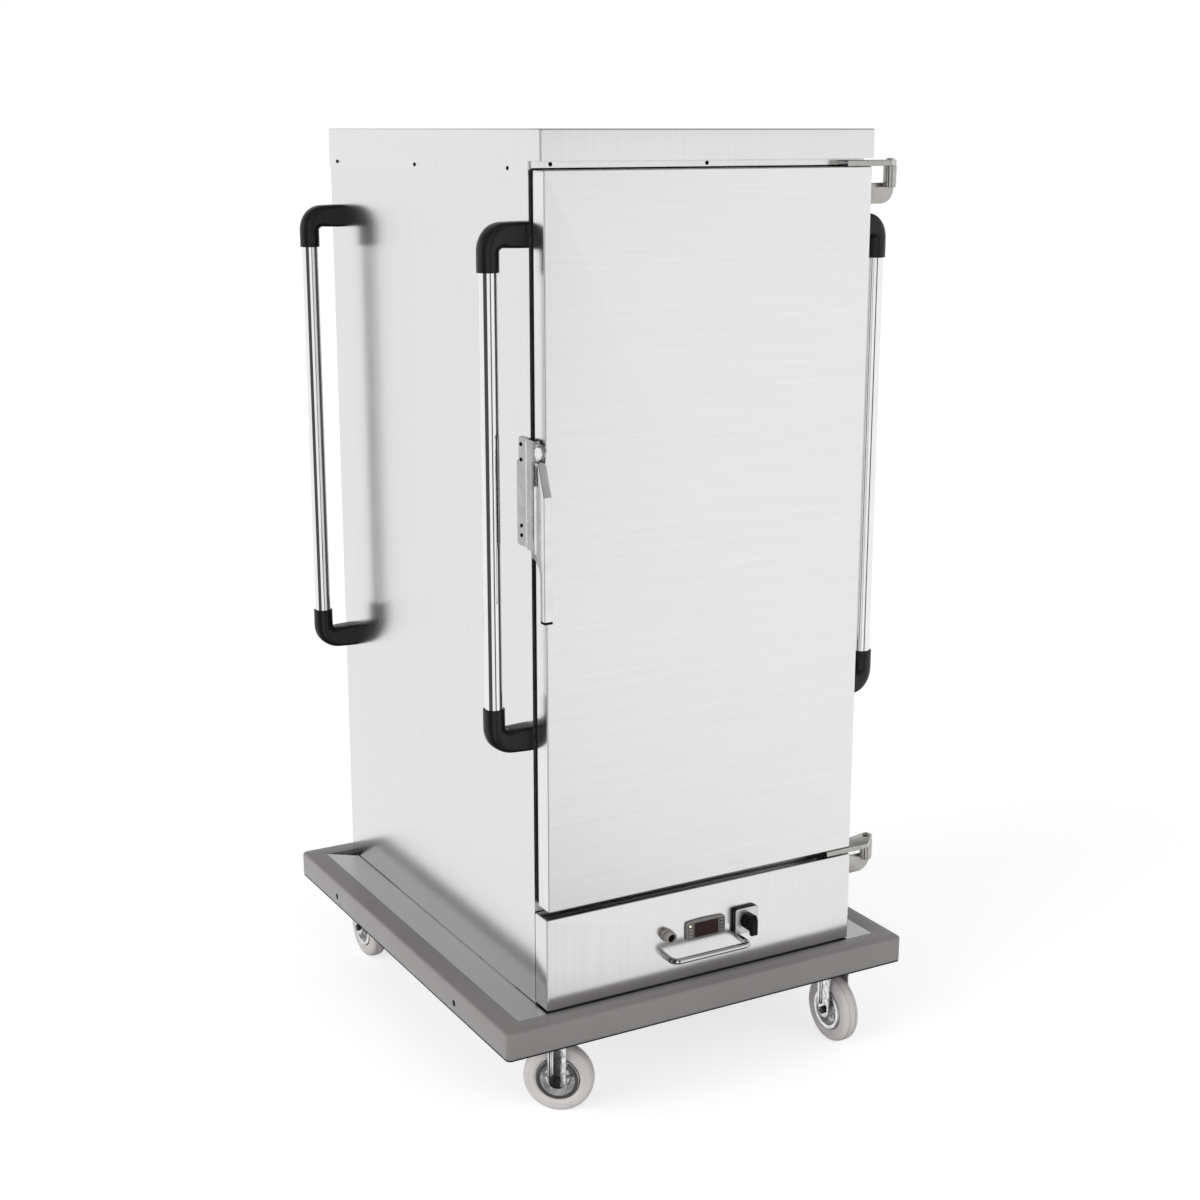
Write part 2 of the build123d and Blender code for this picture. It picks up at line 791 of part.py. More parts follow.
with BuildPart() as door_gasket:
    gasket_end = frame_front - gasket_squeeze
    out_x = door_half - gasket_inset
    in_x = out_x - gasket_width
    out_low = door_bottom + gasket_inset
    out_high = door_top - gasket_inset
    for side in (-1, 1):
        block(*sorted((side * out_x, side * in_x)), door_back, gasket_end, out_low, out_high)
    for low, high in ((out_low, out_low + gasket_width), (out_high - gasket_width, out_high)):
        block(butt_gap - in_x, in_x - butt_gap, door_back, gasket_end, low, high)
save(door_gasket, "door_gasket")

with BuildPart() as latch_strike:
    strike_z = (latch_z - strike_size / 2, latch_z + strike_size / 2)
    strike_y = (front + lever_web_back, front + lever_web_back + strike_size)
    block(-door_half - strike_thick, -door_half, *strike_y, *strike_z)
save(latch_strike, "latch_strike")

# Lower front panel, a shallow box with the cut-outs for the controls
control_z = deck_level + control_level
switch_z = deck_level + switch_level
gland_z = deck_level + gland_level
front_plane = Plane.XZ.offset(-front)  # faces -Y
with BuildPart() as control_panel:
    panel_end = frame_front - gasket_squeeze
    inside = half_width - sheet
    block(-half_width, half_width, front, panel_end, panel_bottom, panel_top)
    block(-inside, inside, front + sheet, panel_end, panel_bottom + sheet, panel_top - sheet, Mode.SUBTRACT)
    with BuildSketch(front_plane):
        with Locations((controller_x, control_z)):
            Rectangle(case_width + 2 * cut_gap, case_height + 2 * cut_gap)
        with Locations((switch_x, switch_z)):
            Circle(switch_neck + run_gap)
        with Locations((gland_x, gland_z)):
            Circle(gland_tail_radius + run_gap)
    extrude(amount=-sheet, mode=Mode.SUBTRACT)
save(control_panel, "control_panel")

# Bow handle
with BuildPart() as bow_handle:
    bow_left = bow_x - bow_width / 2
    bow_right = bow_x + bow_width / 2
    bow_y = front - bow_reach + bow_rod
    bow_z = deck_level + bow_level
    with BuildLine() as bow_path:
        FilletPolyline(
            (bow_left, front, bow_z),
            (bow_left, bow_y, bow_z),
            (bow_right, bow_y, bow_z),
            (bow_right, front, bow_z),
            radius=bow_bend,
        )
    with BuildSketch(Plane(origin=(bow_left, front, bow_z), z_dir=(0, -1, 0))):
        Circle(bow_rod)
    sweep(path=bow_path.wire())
save(bow_handle, "bow_handle")

# Cable gland: hexagon, neck, domed nut and a threaded tail, all bored through
with BuildPart() as cable_gland:
    with BuildSketch(front_plane):
        with Locations((gland_x, gland_z)):
            RegularPolygon(gland_flats, 6, major_radius=False)
    extrude(amount=gland_base)
    with BuildSketch(front_plane.offset(gland_base)):
        with Locations((gland_x, gland_z)):
            Circle(gland_neck_radius)
    extrude(amount=gland_neck)
    with BuildSketch(front_plane.offset(gland_base + gland_neck)):
        with Locations((gland_x, gland_z)):
            Circle(gland_nut_radius)
    extrude(amount=gland_reach - gland_base - gland_neck)
    chamfer(cable_gland.faces().sort_by(Axis.Y)[0].outer_wire().edges(), gland_chamfer)
    with BuildSketch(front_plane):
        with Locations((gland_x, gland_z)):
            Circle(gland_tail_radius)
    extrude(amount=-gland_tail)
    with BuildSketch(front_plane.offset(gland_reach)):
        with Locations((gland_x, gland_z)):
            Circle(gland_bore)
    extrude(amount=-gland_reach - gland_tail, mode=Mode.SUBTRACT)
save(cable_gland, "cable_gland")

# Temperature controller: bezel with bowed edges, window recess, button pockets and a case behind
bezel_left = controller_x - controller_width / 2
bezel_right = controller_x + controller_width / 2
window_x = bezel_left + window_left + window_width / 2
button_low = control_z - (button_count - 1) * button_pitch / 2
button_places = [(controller_x + button_x, button_low + i * button_pitch) for i in range(button_count)]
with BuildPart() as controller_body:
    with BuildSketch(front_plane) as bezel:
        with BuildLine():
            low = control_z - controller_height / 2 + controller_bulge
            high = control_z + controller_height / 2 - controller_bulge
            ThreePointArc((bezel_left, low), (controller_x, low - controller_bulge), (bezel_right, low))
            Line((bezel_right, low), (bezel_right, high))
            ThreePointArc((bezel_right, high), (controller_x, high + controller_bulge), (bezel_left, high))
            Line((bezel_left, high), (bezel_left, low))
        make_face()
        fillet(bezel.vertices(), controller_corner)
    extrude(amount=controller_proud)
    fillet(controller_body.faces().sort_by(Axis.Y)[0].edges(), button_proud)
    with BuildSketch(front_plane):
        with Locations((controller_x, control_z)):
            Rectangle(case_width, case_height)
    extrude(amount=-case_depth)
    with BuildSketch(front_plane.offset(controller_proud)):
        with Locations((window_x, control_z)):
            Rectangle(window_width, window_height)
    extrude(amount=-window_thick, mode=Mode.SUBTRACT)
    with BuildSketch(front_plane.offset(controller_proud)):
        with Locations(*button_places):
            Rectangle(button_width + 2 * touch_gap, button_height + 2 * touch_gap)
    extrude(amount=-button_pocket, mode=Mode.SUBTRACT)
save(controller_body, "controller_body")

with BuildPart() as controller_window:
    with BuildSketch(front_plane.offset(controller_proud)):
        with Locations((window_x, control_z)):
            Rectangle(window_width - 2 * run_gap, window_height - 2 * run_gap)
    extrude(amount=-window_thick)
save(controller_window, "controller_window")

for number, place in enumerate(button_places, 1):
    with BuildPart() as button:
        with BuildSketch(front_plane.offset(controller_proud + button_proud)):
            with Locations(place):
                Rectangle(button_width, button_height)
        extrude(amount=-button_thick)
        fillet(button.faces().sort_by(Axis.Y)[0].edges(), button_proud)
    save(button, f"controller_button_{number}")

# Rotary switch: black base with its body behind the panel, bright face plate, lever knob
with BuildPart() as switch_base:
    with BuildSketch(front_plane):
        with Locations((switch_x, switch_z)):
            RectangleRounded(switch_size, switch_size, switch_corner)
    extrude(amount=switch_base_thick)
    with BuildSketch(front_plane):
        with Locations((switch_x, switch_z)):
            Circle(switch_neck)
    extrude(amount=-sheet)
    with BuildSketch(front_plane.offset(-sheet)):
        with Locations((switch_x, switch_z)):
            Rectangle(switch_body_size, switch_body_size)
    extrude(amount=-switch_body_depth)
    with BuildSketch(front_plane.offset(switch_base_thick)):
        with Locations((switch_x, switch_z)):
            Circle(spindle_radius)
    extrude(amount=switch_face_thick + spindle_length)
save(switch_base, "switch_base")

face_out = switch_base_thick + switch_face_thick
with BuildPart() as switch_face:
    with BuildSketch(front_plane.offset(switch_base_thick)):
        with Locations((switch_x, switch_z)):
            RectangleRounded(switch_size, switch_size, switch_corner)
            Circle(spindle_radius + touch_gap, mode=Mode.SUBTRACT)
    extrude(amount=switch_face_thick)
save(switch_face, "switch_face")

with BuildPart() as switch_knob:
    disc_out = face_out + touch_gap
    with BuildSketch(front_plane.offset(disc_out)):
        with Locations((switch_x, switch_z)):
            Circle(knob_radius)
    extrude(amount=knob_disc)
    grip_start = front - disc_out
    grip_end = front - face_out - knob_reach
    with BuildSketch(Plane.YZ.offset(switch_x - knob_grip / 2)):
        with BuildLine():
            Polyline(
                (grip_start, switch_z + knob_up),
                (grip_end + knob_tip, switch_z + knob_up),
                (grip_end, switch_z + knob_up - knob_tip),
                (grip_end, switch_z - knob_down),
                (grip_end + knob_tip, switch_z - knob_down),
                (grip_start, switch_z - knob_radius),
                close=True,
            )
        make_face()
    extrude(amount=knob_grip)
    with BuildSketch(front_plane.offset(disc_out)):
        with Locations((switch_x, switch_z)):
            Circle(spindle_radius + run_gap)
    extrude(amount=spindle_length, mode=Mode.SUBTRACT)
save(switch_knob, "switch_knob")

# Heating unit: tray behind the lower panel, element, fan motor and rotor
tray_start = front + sheet
tray_end = tray_start + tray_length
tray_top = tray_level + sheet
with BuildPart() as heater_tray:
    block(-tray_half, tray_half, tray_start, tray_end, tray_level, tray_top)
    for side in (-1, 1):
        lip_x = sorted((side * tray_half, side * (tray_half - sheet)))
        block(*lip_x, tray_start, tray_end, tray_level, tray_level + tray_lip)
save(heater_tray, "heater_tray")

with BuildPart() as heater:
    flange_y = front + heater_flange_back
    loop_start = flange_y + heater_flange_thick
    loop_end = loop_start + heater_length
    loop_near = loop_start + heater_bend
    loop_z = tray_top + heater_over
    block(
        -heater_half - heater_bend,
        heater_half + heater_bend,
        flange_y,
        loop_start,
        tray_top,
        loop_z + heater_bend,
    )
    with BuildLine() as loop:
        FilletPolyline(
            (-heater_half, loop_start, loop_z),
            (-heater_half, loop_end, loop_z),
            (-heater_inner, loop_end, loop_z),
            (-heater_inner, loop_near, loop_z),
            (heater_inner, loop_near, loop_z),
            (heater_inner, loop_end, loop_z),
            (heater_half, loop_end, loop_z),
            (heater_half, loop_start, loop_z),
            radius=heater_bend,
        )
    with BuildSketch(Plane(origin=(-heater_half, loop_start, loop_z), z_dir=(0, 1, 0))):
        Circle(heater_radius)
    sweep(path=loop.wire())
save(heater, "heater")

fan_y = front + fan_back
motor_top = tray_top + motor_height
with BuildPart() as fan_motor:
    upright(0, fan_y, tray_top, motor_top, motor_radius)
    fillet(fan_motor.faces().sort_by(Axis.Z)[-1].edges(), rotor_lift / 2)
    upright(0, fan_y, motor_top, motor_top + shaft_length, shaft_radius)
save(fan_motor, "fan_motor")

with BuildPart() as fan_rotor:
    rotor_low = motor_top + rotor_lift
    rotor_mid = rotor_low + rotor_height / 2
    upright(0, fan_y, rotor_low, rotor_low + rotor_height, rotor_hub)
    for i in range(blade_count):
        blade_turn = 360 / blade_count * i
        with Locations(Location((0, fan_y, rotor_mid), (0, 0, blade_turn))):
            with Locations(Location((blade_reach / 2, 0, 0), (blade_tilt, 0, 0))):
                Box(blade_reach, blade_width, blade_thick)
    upright(0, fan_y, rotor_low, rotor_low + rotor_height, shaft_radius + run_gap, Mode.SUBTRACT)
save(fan_rotor, "fan_rotor")

# Caster plates of the front pair, each with its race and kingpin
race_low = caster_height - plate_thick - race_height
crown_top = race_low - touch_gap
crown_low = crown_top - crown_thick
pin_low = crown_low - touch_gap
with BuildPart() as caster_plates:
    for x in (-caster_x, caster_x):
        block(
            x - plate_width / 2,
            x + plate_width / 2,
            caster_front_y - plate_length / 2,
            caster_front_y + plate_length / 2,
            caster_height - plate_thick,
            caster_height,
        )
        upright(x, caster_front_y, race_low, caster_height - plate_thick, race_radius)
        upright(x, caster_front_y, pin_low, race_low, kingpin_radius)
        upright(x, caster_front_y, pin_low - kingpin_head, pin_low, kingpin_head_radius)
        with Locations((x, caster_front_y, caster_height - plate_thick / 2)):
            with GridLocations(bolt_spacing_x, bolt_spacing_y, 2, 2):
                Cylinder(bolt_hole, plate_thick, mode=Mode.SUBTRACT)
save(caster_plates, "caster_plates")

# Bolts that hold all four casters to the chassis
with BuildPart() as caster_bolts:
    web_top = caster_height + channel_wall
    for x in (-caster_x, caster_x):
        for y in (caster_front_y, caster_back_y):
            with BuildSketch(Plane.XY.offset(web_top)):
                with Locations((x, y)):
                    with GridLocations(bolt_spacing_x, bolt_spacing_y, 2, 2):
                        RegularPolygon(bolt_head_radius, 6)
            extrude(amount=bolt_head)
            with BuildSketch(Plane.XY.offset(web_top)):
                with Locations((x, y)):
                    with GridLocations(bolt_spacing_x, bolt_spacing_y, 2, 2):
                        Circle(bolt_radius)
            extrude(amount=-channel_wall - plate_thick)
save(caster_bolts, "caster_bolts")


def wheel_plane(x, y, turn, offset=0.0):
    # Plane square to a wheel's axle: local X points ahead of the caster, local Y points up.
    angle = radians(turn)
    ahead = (-sin(angle), cos(angle), 0)
    plane = Plane(origin=(x, y, 0), x_dir=ahead, z_dir=(cos(angle), sin(angle), 0))
    return plane.offset(offset)


def leg_outline(trail, top):
    # Side view of a fork leg: upright above the round boss at the axle, then back to the crown.
    Polygon(
        (-leg_width / 2, top),
        (-trail - leg_half, leg_shoulder),
        (-trail - leg_boss, wheel_radius),
        (-trail + leg_boss, wheel_radius),
        (-trail + leg_half, leg_shoulder),
        (leg_width / 2, top),
        align=None,
    )
    with Locations((-trail, wheel_radius)):
        Circle(leg_boss)
        Circle(axle_radius + run_gap, mode=Mode.SUBTRACT)


# Front forks, turning on their kingpins
fork_half = fork_gap / 2
front_casters = (("left", -caster_x, left_turn), ("right", caster_x, 0.0))
for name, x, turn in front_casters:
    with BuildPart() as front_fork:
        for start in (-fork_half - leg_thick, fork_half):
            with BuildSketch(wheel_plane(x, caster_front_y, turn, start)):
                leg_outline(wheel_trail, crown_low)
            extrude(amount=leg_thick)
        with BuildSketch(wheel_plane(x, caster_front_y, turn, -fork_half - leg_thick)):
            with Locations((0, crown_low)):
                Rectangle(leg_width, crown_thick, align=(Align.CENTER, Align.MIN))
        extrude(amount=fork_gap + 2 * leg_thick)
        upright(x, caster_front_y, crown_low, crown_top, crown_radius)
        upright(x, caster_front_y, crown_low, crown_top, kingpin_radius + run_gap, Mode.SUBTRACT)
    save(front_fork, f"front_fork_{name}")

# Rear forks, fixed under their plates
with BuildPart() as rear_forks:
    rear_low = caster_height - plate_thick
    for x in (-caster_x, caster_x):
        for start in (-fork_half - leg_thick, fork_half):
            with BuildSketch(wheel_plane(x, caster_back_y, 0, start)):
                leg_outline(0, rear_low)
            extrude(amount=leg_thick)
        block(
            x - plate_width / 2,
            x + plate_width / 2,
            caster_back_y - plate_length / 2,
            caster_back_y + plate_length / 2,
            rear_low,
            caster_height,
        )
        with Locations((x, caster_back_y, caster_height - plate_thick / 2)):
            with GridLocations(bolt_spacing_x, bolt_spacing_y, 2, 2):
                Cylinder(bolt_hole, plate_thick, mode=Mode.SUBTRACT)
save(rear_forks, "rear_forks")

# Axles, rims and tyres
wheels = [(f"front_{name}", x, caster_front_y, turn, wheel_trail) for name, x, turn in front_casters]
wheels += [("rear_left", -caster_x, caster_back_y, 0.0, 0.0)]
wheels += [("rear_right", caster_x, caster_back_y, 0.0, 0.0)]


def make_axles(places):
    # Bolts through both legs of each fork with a hexagon at each end.
    outer = fork_half + leg_thick
    with BuildPart() as axles:
        for x, y, turn, trail in places:
            with BuildSketch(wheel_plane(x, y, turn, -outer)):
                with Locations((-trail, wheel_radius)):
                    Circle(axle_radius)
            extrude(amount=2 * outer)
            for start in (-outer - bolt_head, outer):
                with BuildSketch(wheel_plane(x, y, turn, start)):
                    with Locations((-trail, wheel_radius)):
                        RegularPolygon(bolt_head_radius, 6)
                extrude(amount=bolt_head)
    return axles


save(make_axles([wheel[1:] for wheel in wheels[2:]]), "rear_axles")
for wheel in wheels[:2]:
    save(make_axles([wheel[1:]]), f"{wheel[0]}_axle")

for name, x, y, turn, trail in wheels:
    centre = (-trail, wheel_radius)
    middle = wheel_plane(x, y, turn)
    with BuildPart() as rim:
        for radius, bore, width in (
            (rim_radius, rim_radius - rim_wall, rim_width),
            (rim_radius, hub_radius, rim_web),
            (hub_radius, axle_radius + run_gap, fork_gap - 2 * touch_gap),
        ):
            with BuildSketch(middle):
                with Locations(centre):
                    Circle(radius)
                    Circle(bore, mode=Mode.SUBTRACT)
            extrude(amount=width / 2, both=True)
        with BuildSketch(middle):
            with Locations(centre):
                with PolarLocations(rim_hole_circle, rim_hole_count):
                    Circle(rim_hole_radius)
        extrude(amount=rim_web, both=True, mode=Mode.SUBTRACT)
    save(rim, f"{name}_rim")

    with BuildPart() as tyre:
        with BuildSketch(middle):
            with Locations(centre):
                Circle(wheel_radius)
                Circle(rim_radius + run_gap, mode=Mode.SUBTRACT)
        extrude(amount=tyre_width / 2, both=True)
        fillet(tyre.edges().group_by(SortBy.LENGTH)[-1], tyre_round)
        for place in (-tread_groove_place, tread_groove_place):
            with BuildSketch(middle.offset(place - tread_groove_width / 2)):
                with Locations(centre):
                    Circle(wheel_radius + tread_groove)
                    Circle(wheel_radius - tread_groove, mode=Mode.SUBTRACT)
            extrude(amount=tread_groove_width, mode=Mode.SUBTRACT)
    save(tyre, f"{name}_tyre")

# Screws that show: cap sides, header strip, latch and bumper
with BuildPart() as body_screws:
    cap_face = half_width + cap_sheet
    for side in (-1, 1):
        with BuildSketch(Plane.YZ.offset(side * cap_face)):
            with Locations(*[(front + y, top_level - cap_screw_drop) for y in cap_screw_places]):
                Circle(screw_radius)
        extrude(amount=side * screw_head)
        with BuildSketch(Plane.YZ.offset(side * (bumper_half - bumper_screw_sink))):
            with Locations(*[(front + y, deck_level - bumper_screw_drop) for y in bumper_screw_places]):
                Circle(screw_radius)
        extrude(amount=side * screw_head)
    with BuildSketch(Plane.XZ.offset(-front - header_back)):
        with Locations(*[(x, (door_top + header_clear + skirt_level) / 2) for x in header_screw_places]):
            Circle(screw_radius)
    extrude(amount=screw_head)
    with BuildSketch(Plane.YZ.offset(latch_x - latch_plate)):
        latch_screw_levels = [plate_high - drop for drop in latch_screw_top]
        latch_screw_levels += [plate_low + rise for rise in latch_screw_foot]
        with Locations(*[(frame_front + latch_screw_back, level) for level in latch_screw_levels]):
            Circle(screw_radius)
    extrude(amount=-screw_head)
save(body_screws, "body_screws")

for joint, place in (
    ("door hinge", (pivot_x, pivot_y, door_bottom)),
    ("latch pivot", (latch_x, latch_y, latch_z)),
    ("switch knob", (switch_x, front, switch_z)),
    ("fan shaft", (0, fan_y, motor_top)),
    ("caster swivel", (caster_x, caster_front_y, caster_height)),
    ("rear axle", (caster_x, caster_back_y, wheel_radius)),
):
    print(joint, [round(value, 3) for value in place])
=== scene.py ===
import bmesh
import bpy
import math
import numpy as np
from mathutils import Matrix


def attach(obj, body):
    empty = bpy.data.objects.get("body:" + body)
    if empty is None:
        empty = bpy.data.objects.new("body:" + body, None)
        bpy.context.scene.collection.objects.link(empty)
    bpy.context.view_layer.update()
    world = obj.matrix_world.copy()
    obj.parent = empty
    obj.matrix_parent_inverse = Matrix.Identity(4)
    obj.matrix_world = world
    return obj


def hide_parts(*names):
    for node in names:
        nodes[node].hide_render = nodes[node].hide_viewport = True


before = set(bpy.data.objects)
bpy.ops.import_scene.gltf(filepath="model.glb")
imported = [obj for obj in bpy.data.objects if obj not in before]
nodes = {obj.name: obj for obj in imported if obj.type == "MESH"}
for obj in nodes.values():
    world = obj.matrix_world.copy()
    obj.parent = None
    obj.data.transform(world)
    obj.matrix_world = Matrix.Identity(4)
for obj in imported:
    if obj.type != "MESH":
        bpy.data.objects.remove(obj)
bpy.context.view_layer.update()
print("frame loaded,", len(nodes), "nodes")

# places are millimetres in the row frame, meshes are written in metres
cart = dict(front=-434.25, back=426.75, half=313.0, top=1662.0)
front, back, half = cart["front"], cart["back"], cart["half"]
xDir, yDir, zDir = np.eye(3)


def unit(v):  # each vector over its length
    v = np.asarray(v, float)
    return v / np.maximum(np.linalg.norm(v, axis=-1, keepdims=True), 1e-9)


# points[row, col] joined to their neighbours by quads, the end rows closed by one face each;
# the signed volume decides which way the faces look
def gridShape(points, wrapCols=True, wrapRows=False):
    rows, cols = points.shape[:2]
    r = np.arange(rows if wrapRows else rows - 1)
    c = np.arange(cols if wrapCols else cols - 1)
    a, b = np.meshgrid(r, c, indexing="ij")
    a2, b2 = (a + 1) % rows, (b + 1) % cols
    quads = np.stack([a * cols + b, a * cols + b2, a2 * cols + b2, a2 * cols + b], -1).reshape(-1, 4)
    ends = [] if wrapRows else [np.arange(cols)[::-1], (rows - 1) * cols + np.arange(cols)]
    flat = points.reshape(-1, 3).astype(float)
    mid = flat - flat.mean(0)
    p = mid[quads]
    volume = (p[:, 0] * np.cross(p[:, 1], p[:, 2])).sum() + (p[:, 0] * np.cross(p[:, 2], p[:, 3])).sum()
    volume += sum((mid[e[0]] * np.cross(mid[e[1:-1]], mid[e[2:]])).sum() for e in ends)
    if volume < 0:
        quads, ends = quads[:, ::-1], [e[::-1] for e in ends]
    return flat, quads, ends


# local u, v and w (square to both) carried to the cart
def placed(shape, origin, uDir, vDir):
    points, quads, ends = shape
    axes = np.stack([unit(uDir), unit(vDir), unit(np.cross(uDir, vDir))])
    return np.asarray(origin, float) + points @ axes, quads, ends


# arcs tangent to both sides at each corner: the start radius swung round to the end radius
def cornerArcs(before, at, after, radius, steps):
    a, b = unit(before - at), unit(after - at)
    opening = np.arccos(np.clip((a * b).sum(1), -0.99999, 0.99999)) / 2
    radius = np.broadcast_to(np.asarray(radius, float), opening.shape)
    centre = at + unit(a + b) * (radius / np.sin(opening))[:, None]
    run = (radius / np.tan(opening))[:, None]
    start, end = at + a * run - centre, at + b * run - centre
    turn = (np.pi - 2 * opening)[:, None, None]
    t = np.linspace(0, 1, steps)[None, :, None]
    arcs = (np.sin((1 - t) * turn) * start[:, None] + np.sin(t * turn) * end[:, None]) / np.sin(turn)
    return (centre[:, None] + arcs).reshape(-1, at.shape[1])


def rounded(corners, radius, steps=6):  # closed outline, anticlockwise
    p = np.asarray(corners, float)
    return cornerArcs(np.roll(p, 1, 0), p, np.roll(p, -1, 0), radius, steps)


def boxOutline(w, h, radius, steps=6, u=0.0, v=0.0):  # rectangle w by h about (u, v) with round corners
    return rounded([(u - w / 2, v - h / 2), (u + w / 2, v - h / 2), (u + w / 2, v + h / 2),
                    (u - w / 2, v + h / 2)], radius, steps)


def ringOutline(radius, count):  # radius times (cos t, sin t)
    t = np.linspace(0, 2 * np.pi, count, endpoint=False)
    return np.stack([radius * np.cos(t), radius * np.sin(t)], 1)


def bentPath(points, radius, steps=10):  # open path with its inner corners rounded
    p = np.asarray(points, float)
    return np.vstack([p[:1], cornerArcs(p[:-2], p[1:-1], p[2:], radius, steps), p[-1:]])


# mitre direction of each outline point, pointing inwards, for an offset of one
def inward(outline):
    ahead = unit(np.roll(outline, -1, 0) - outline)
    behind = unit(outline - np.roll(outline, 1, 0))
    n1 = np.stack([-behind[:, 1], behind[:, 0]], 1)
    n2 = np.stack([-ahead[:, 1], ahead[:, 0]], 1)
    return (n1 + n2) / np.maximum(1 + (n1 * n2).sum(1, keepdims=True), 0.3)


# outline carried along w with a quarter round at each rim: inset e(1 - sin q), rise e(1 - cos q)
def plate(outline, low, high, edge=0.6, steps=3):
    q = np.linspace(0, np.pi / 2, steps + 1)
    inset, rise = edge * (1 - np.sin(q)), edge * (1 - np.cos(q))
    insets = np.concatenate([inset, inset[::-1]])[:, None, None]
    levels = np.concatenate([low + rise, high - rise[::-1]])
    flat = outline[None] + insets * inward(outline)[None]
    return gridShape(np.dstack([flat, np.broadcast_to(levels[:, None], flat.shape[:2])]))


# open pan: inner floor, inner wall, rim, outer wall, quarter round, outer face; the rim may vary
def pan(outline, rim, face, wall, edge, steps=4):
    q = np.linspace(0, np.pi / 2, steps + 1)
    insets = np.concatenate([[wall + edge, wall, wall, 0.0], edge * (1 - np.cos(q))])[:, None, None]
    rim = np.broadcast_to(np.asarray(rim, float), (len(outline),))
    same = np.ones_like(rim)
    levels = [same * (face - wall), same * (face - wall), rim, rim]
    levels += [same * (face - edge * (1 - np.sin(a))) for a in q]
    flat = outline[None] + insets * inward(outline)[None]
    return gridShape(np.dstack([flat, np.stack(levels)]))


# profile of (radius, height) pairs turned round w; ripple makes the radius swell count times a turn
def turned(profile, count=56, closed=False, ripple=0.0, lobes=0):
    p = np.asarray(profile, float)
    t = np.linspace(0, 2 * np.pi, count, endpoint=False)
    r = p[:, :1] * (1 + ripple * np.cos(lobes * t)[None])
    grid = np.stack([r * np.cos(t), r * np.sin(t), np.broadcast_to(p[:, 1:], r.shape)], -1)
    return gridShape(grid, True, closed)


def cylinder(r, low, high, count=32):  # a rectangle turned round w
    return turned([(0, low), (r, low), (r, high), (0, high)], count)


def flatRing(inner, outer, low, high, count=80):  # a rectangle clear of w turned round it
    return turned([(inner, low), (outer, low), (outer, high), (inner, high)], count, True)


# flat profile carried along a path that lies square to up
def carried(profile, path, up):
    path = np.asarray(path, float)
    along = unit(np.gradient(path, axis=0))
    side = unit(np.cross(up, along))
    lift = np.cross(along, side)
    grid = path[:, None] + profile[None, :, :1] * side[:, None] + profile[None, :, 1:] * lift[:, None]
    return gridShape(grid)


def block(lo, hi, edge=0.5):  # box with rounded edges
    lo, hi = np.asarray(lo, float), np.asarray(hi, float)
    w, h = hi[:2] - lo[:2]
    mid = (lo + hi) / 2
    return plate(boxOutline(w, h, edge, 4, mid[0], mid[1]), lo[2], hi[2], edge)


# one mesh from all the shapes, riding on its body
def addPiece(name, parts, body, replaced, sharp=38):
    points, faces, picks, used, count = [], [], [], [], 0
    for shape, finish in parts:
        p, quads, ends = shape
        points.append(p)
        fresh = (quads + count).tolist() + [(e + count).tolist() for e in ends]
        faces += fresh
        if finish not in used:
            used.append(finish)
        picks += [used.index(finish)] * len(fresh)
        count += len(p)
    mesh = bpy.data.meshes.new(name)
    mesh.from_pydata(np.vstack(points) * 0.001, [], faces)
    mesh.polygons.foreach_set("material_index", picks)
    mesh.polygons.foreach_set("use_smooth", [True] * len(faces))
    for finish in used:
        mesh.materials.append(finishes[finish])
    work = bmesh.new()
    work.from_mesh(mesh)
    bmesh.ops.remove_doubles(work, verts=work.verts, dist=2e-6)
    bmesh.ops.dissolve_degenerate(work, edges=work.edges, dist=1e-6)
    work.to_mesh(mesh)
    work.free()
    mesh.set_sharp_from_angle(angle=math.radians(sharp))
    piece = bpy.data.objects.new(name, mesh)
    bpy.context.scene.collection.objects.link(piece)
    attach(piece, body)
    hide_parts(*replaced)


def treeTools(tree):  # small helpers: nodes with their inputs filled or linked
    def fill(node, inputs):
        for key, value in inputs:
            if isinstance(value, bpy.types.NodeSocket):
                tree.links.new(value, node.inputs[key])
            else:
                node.inputs[key].default_value = value

    def add(kind, inputs=(), **settings):
        node = tree.nodes.new(kind)
        for key, value in settings.items():
            setattr(node, key, value)
        fill(node, inputs)
        return node

    def maths(kind, a, b):
        return add("ShaderNodeMath", ((0, a), (1, b)), operation=kind).outputs[0]

    def ranged(value, limits, kind="LINEAR"):  # limits: from low, from high, to low, to high
        return add("ShaderNodeMapRange", enumerate((value, *limits)), interpolation_type=kind).outputs[0]

    return fill, add, maths, ranged


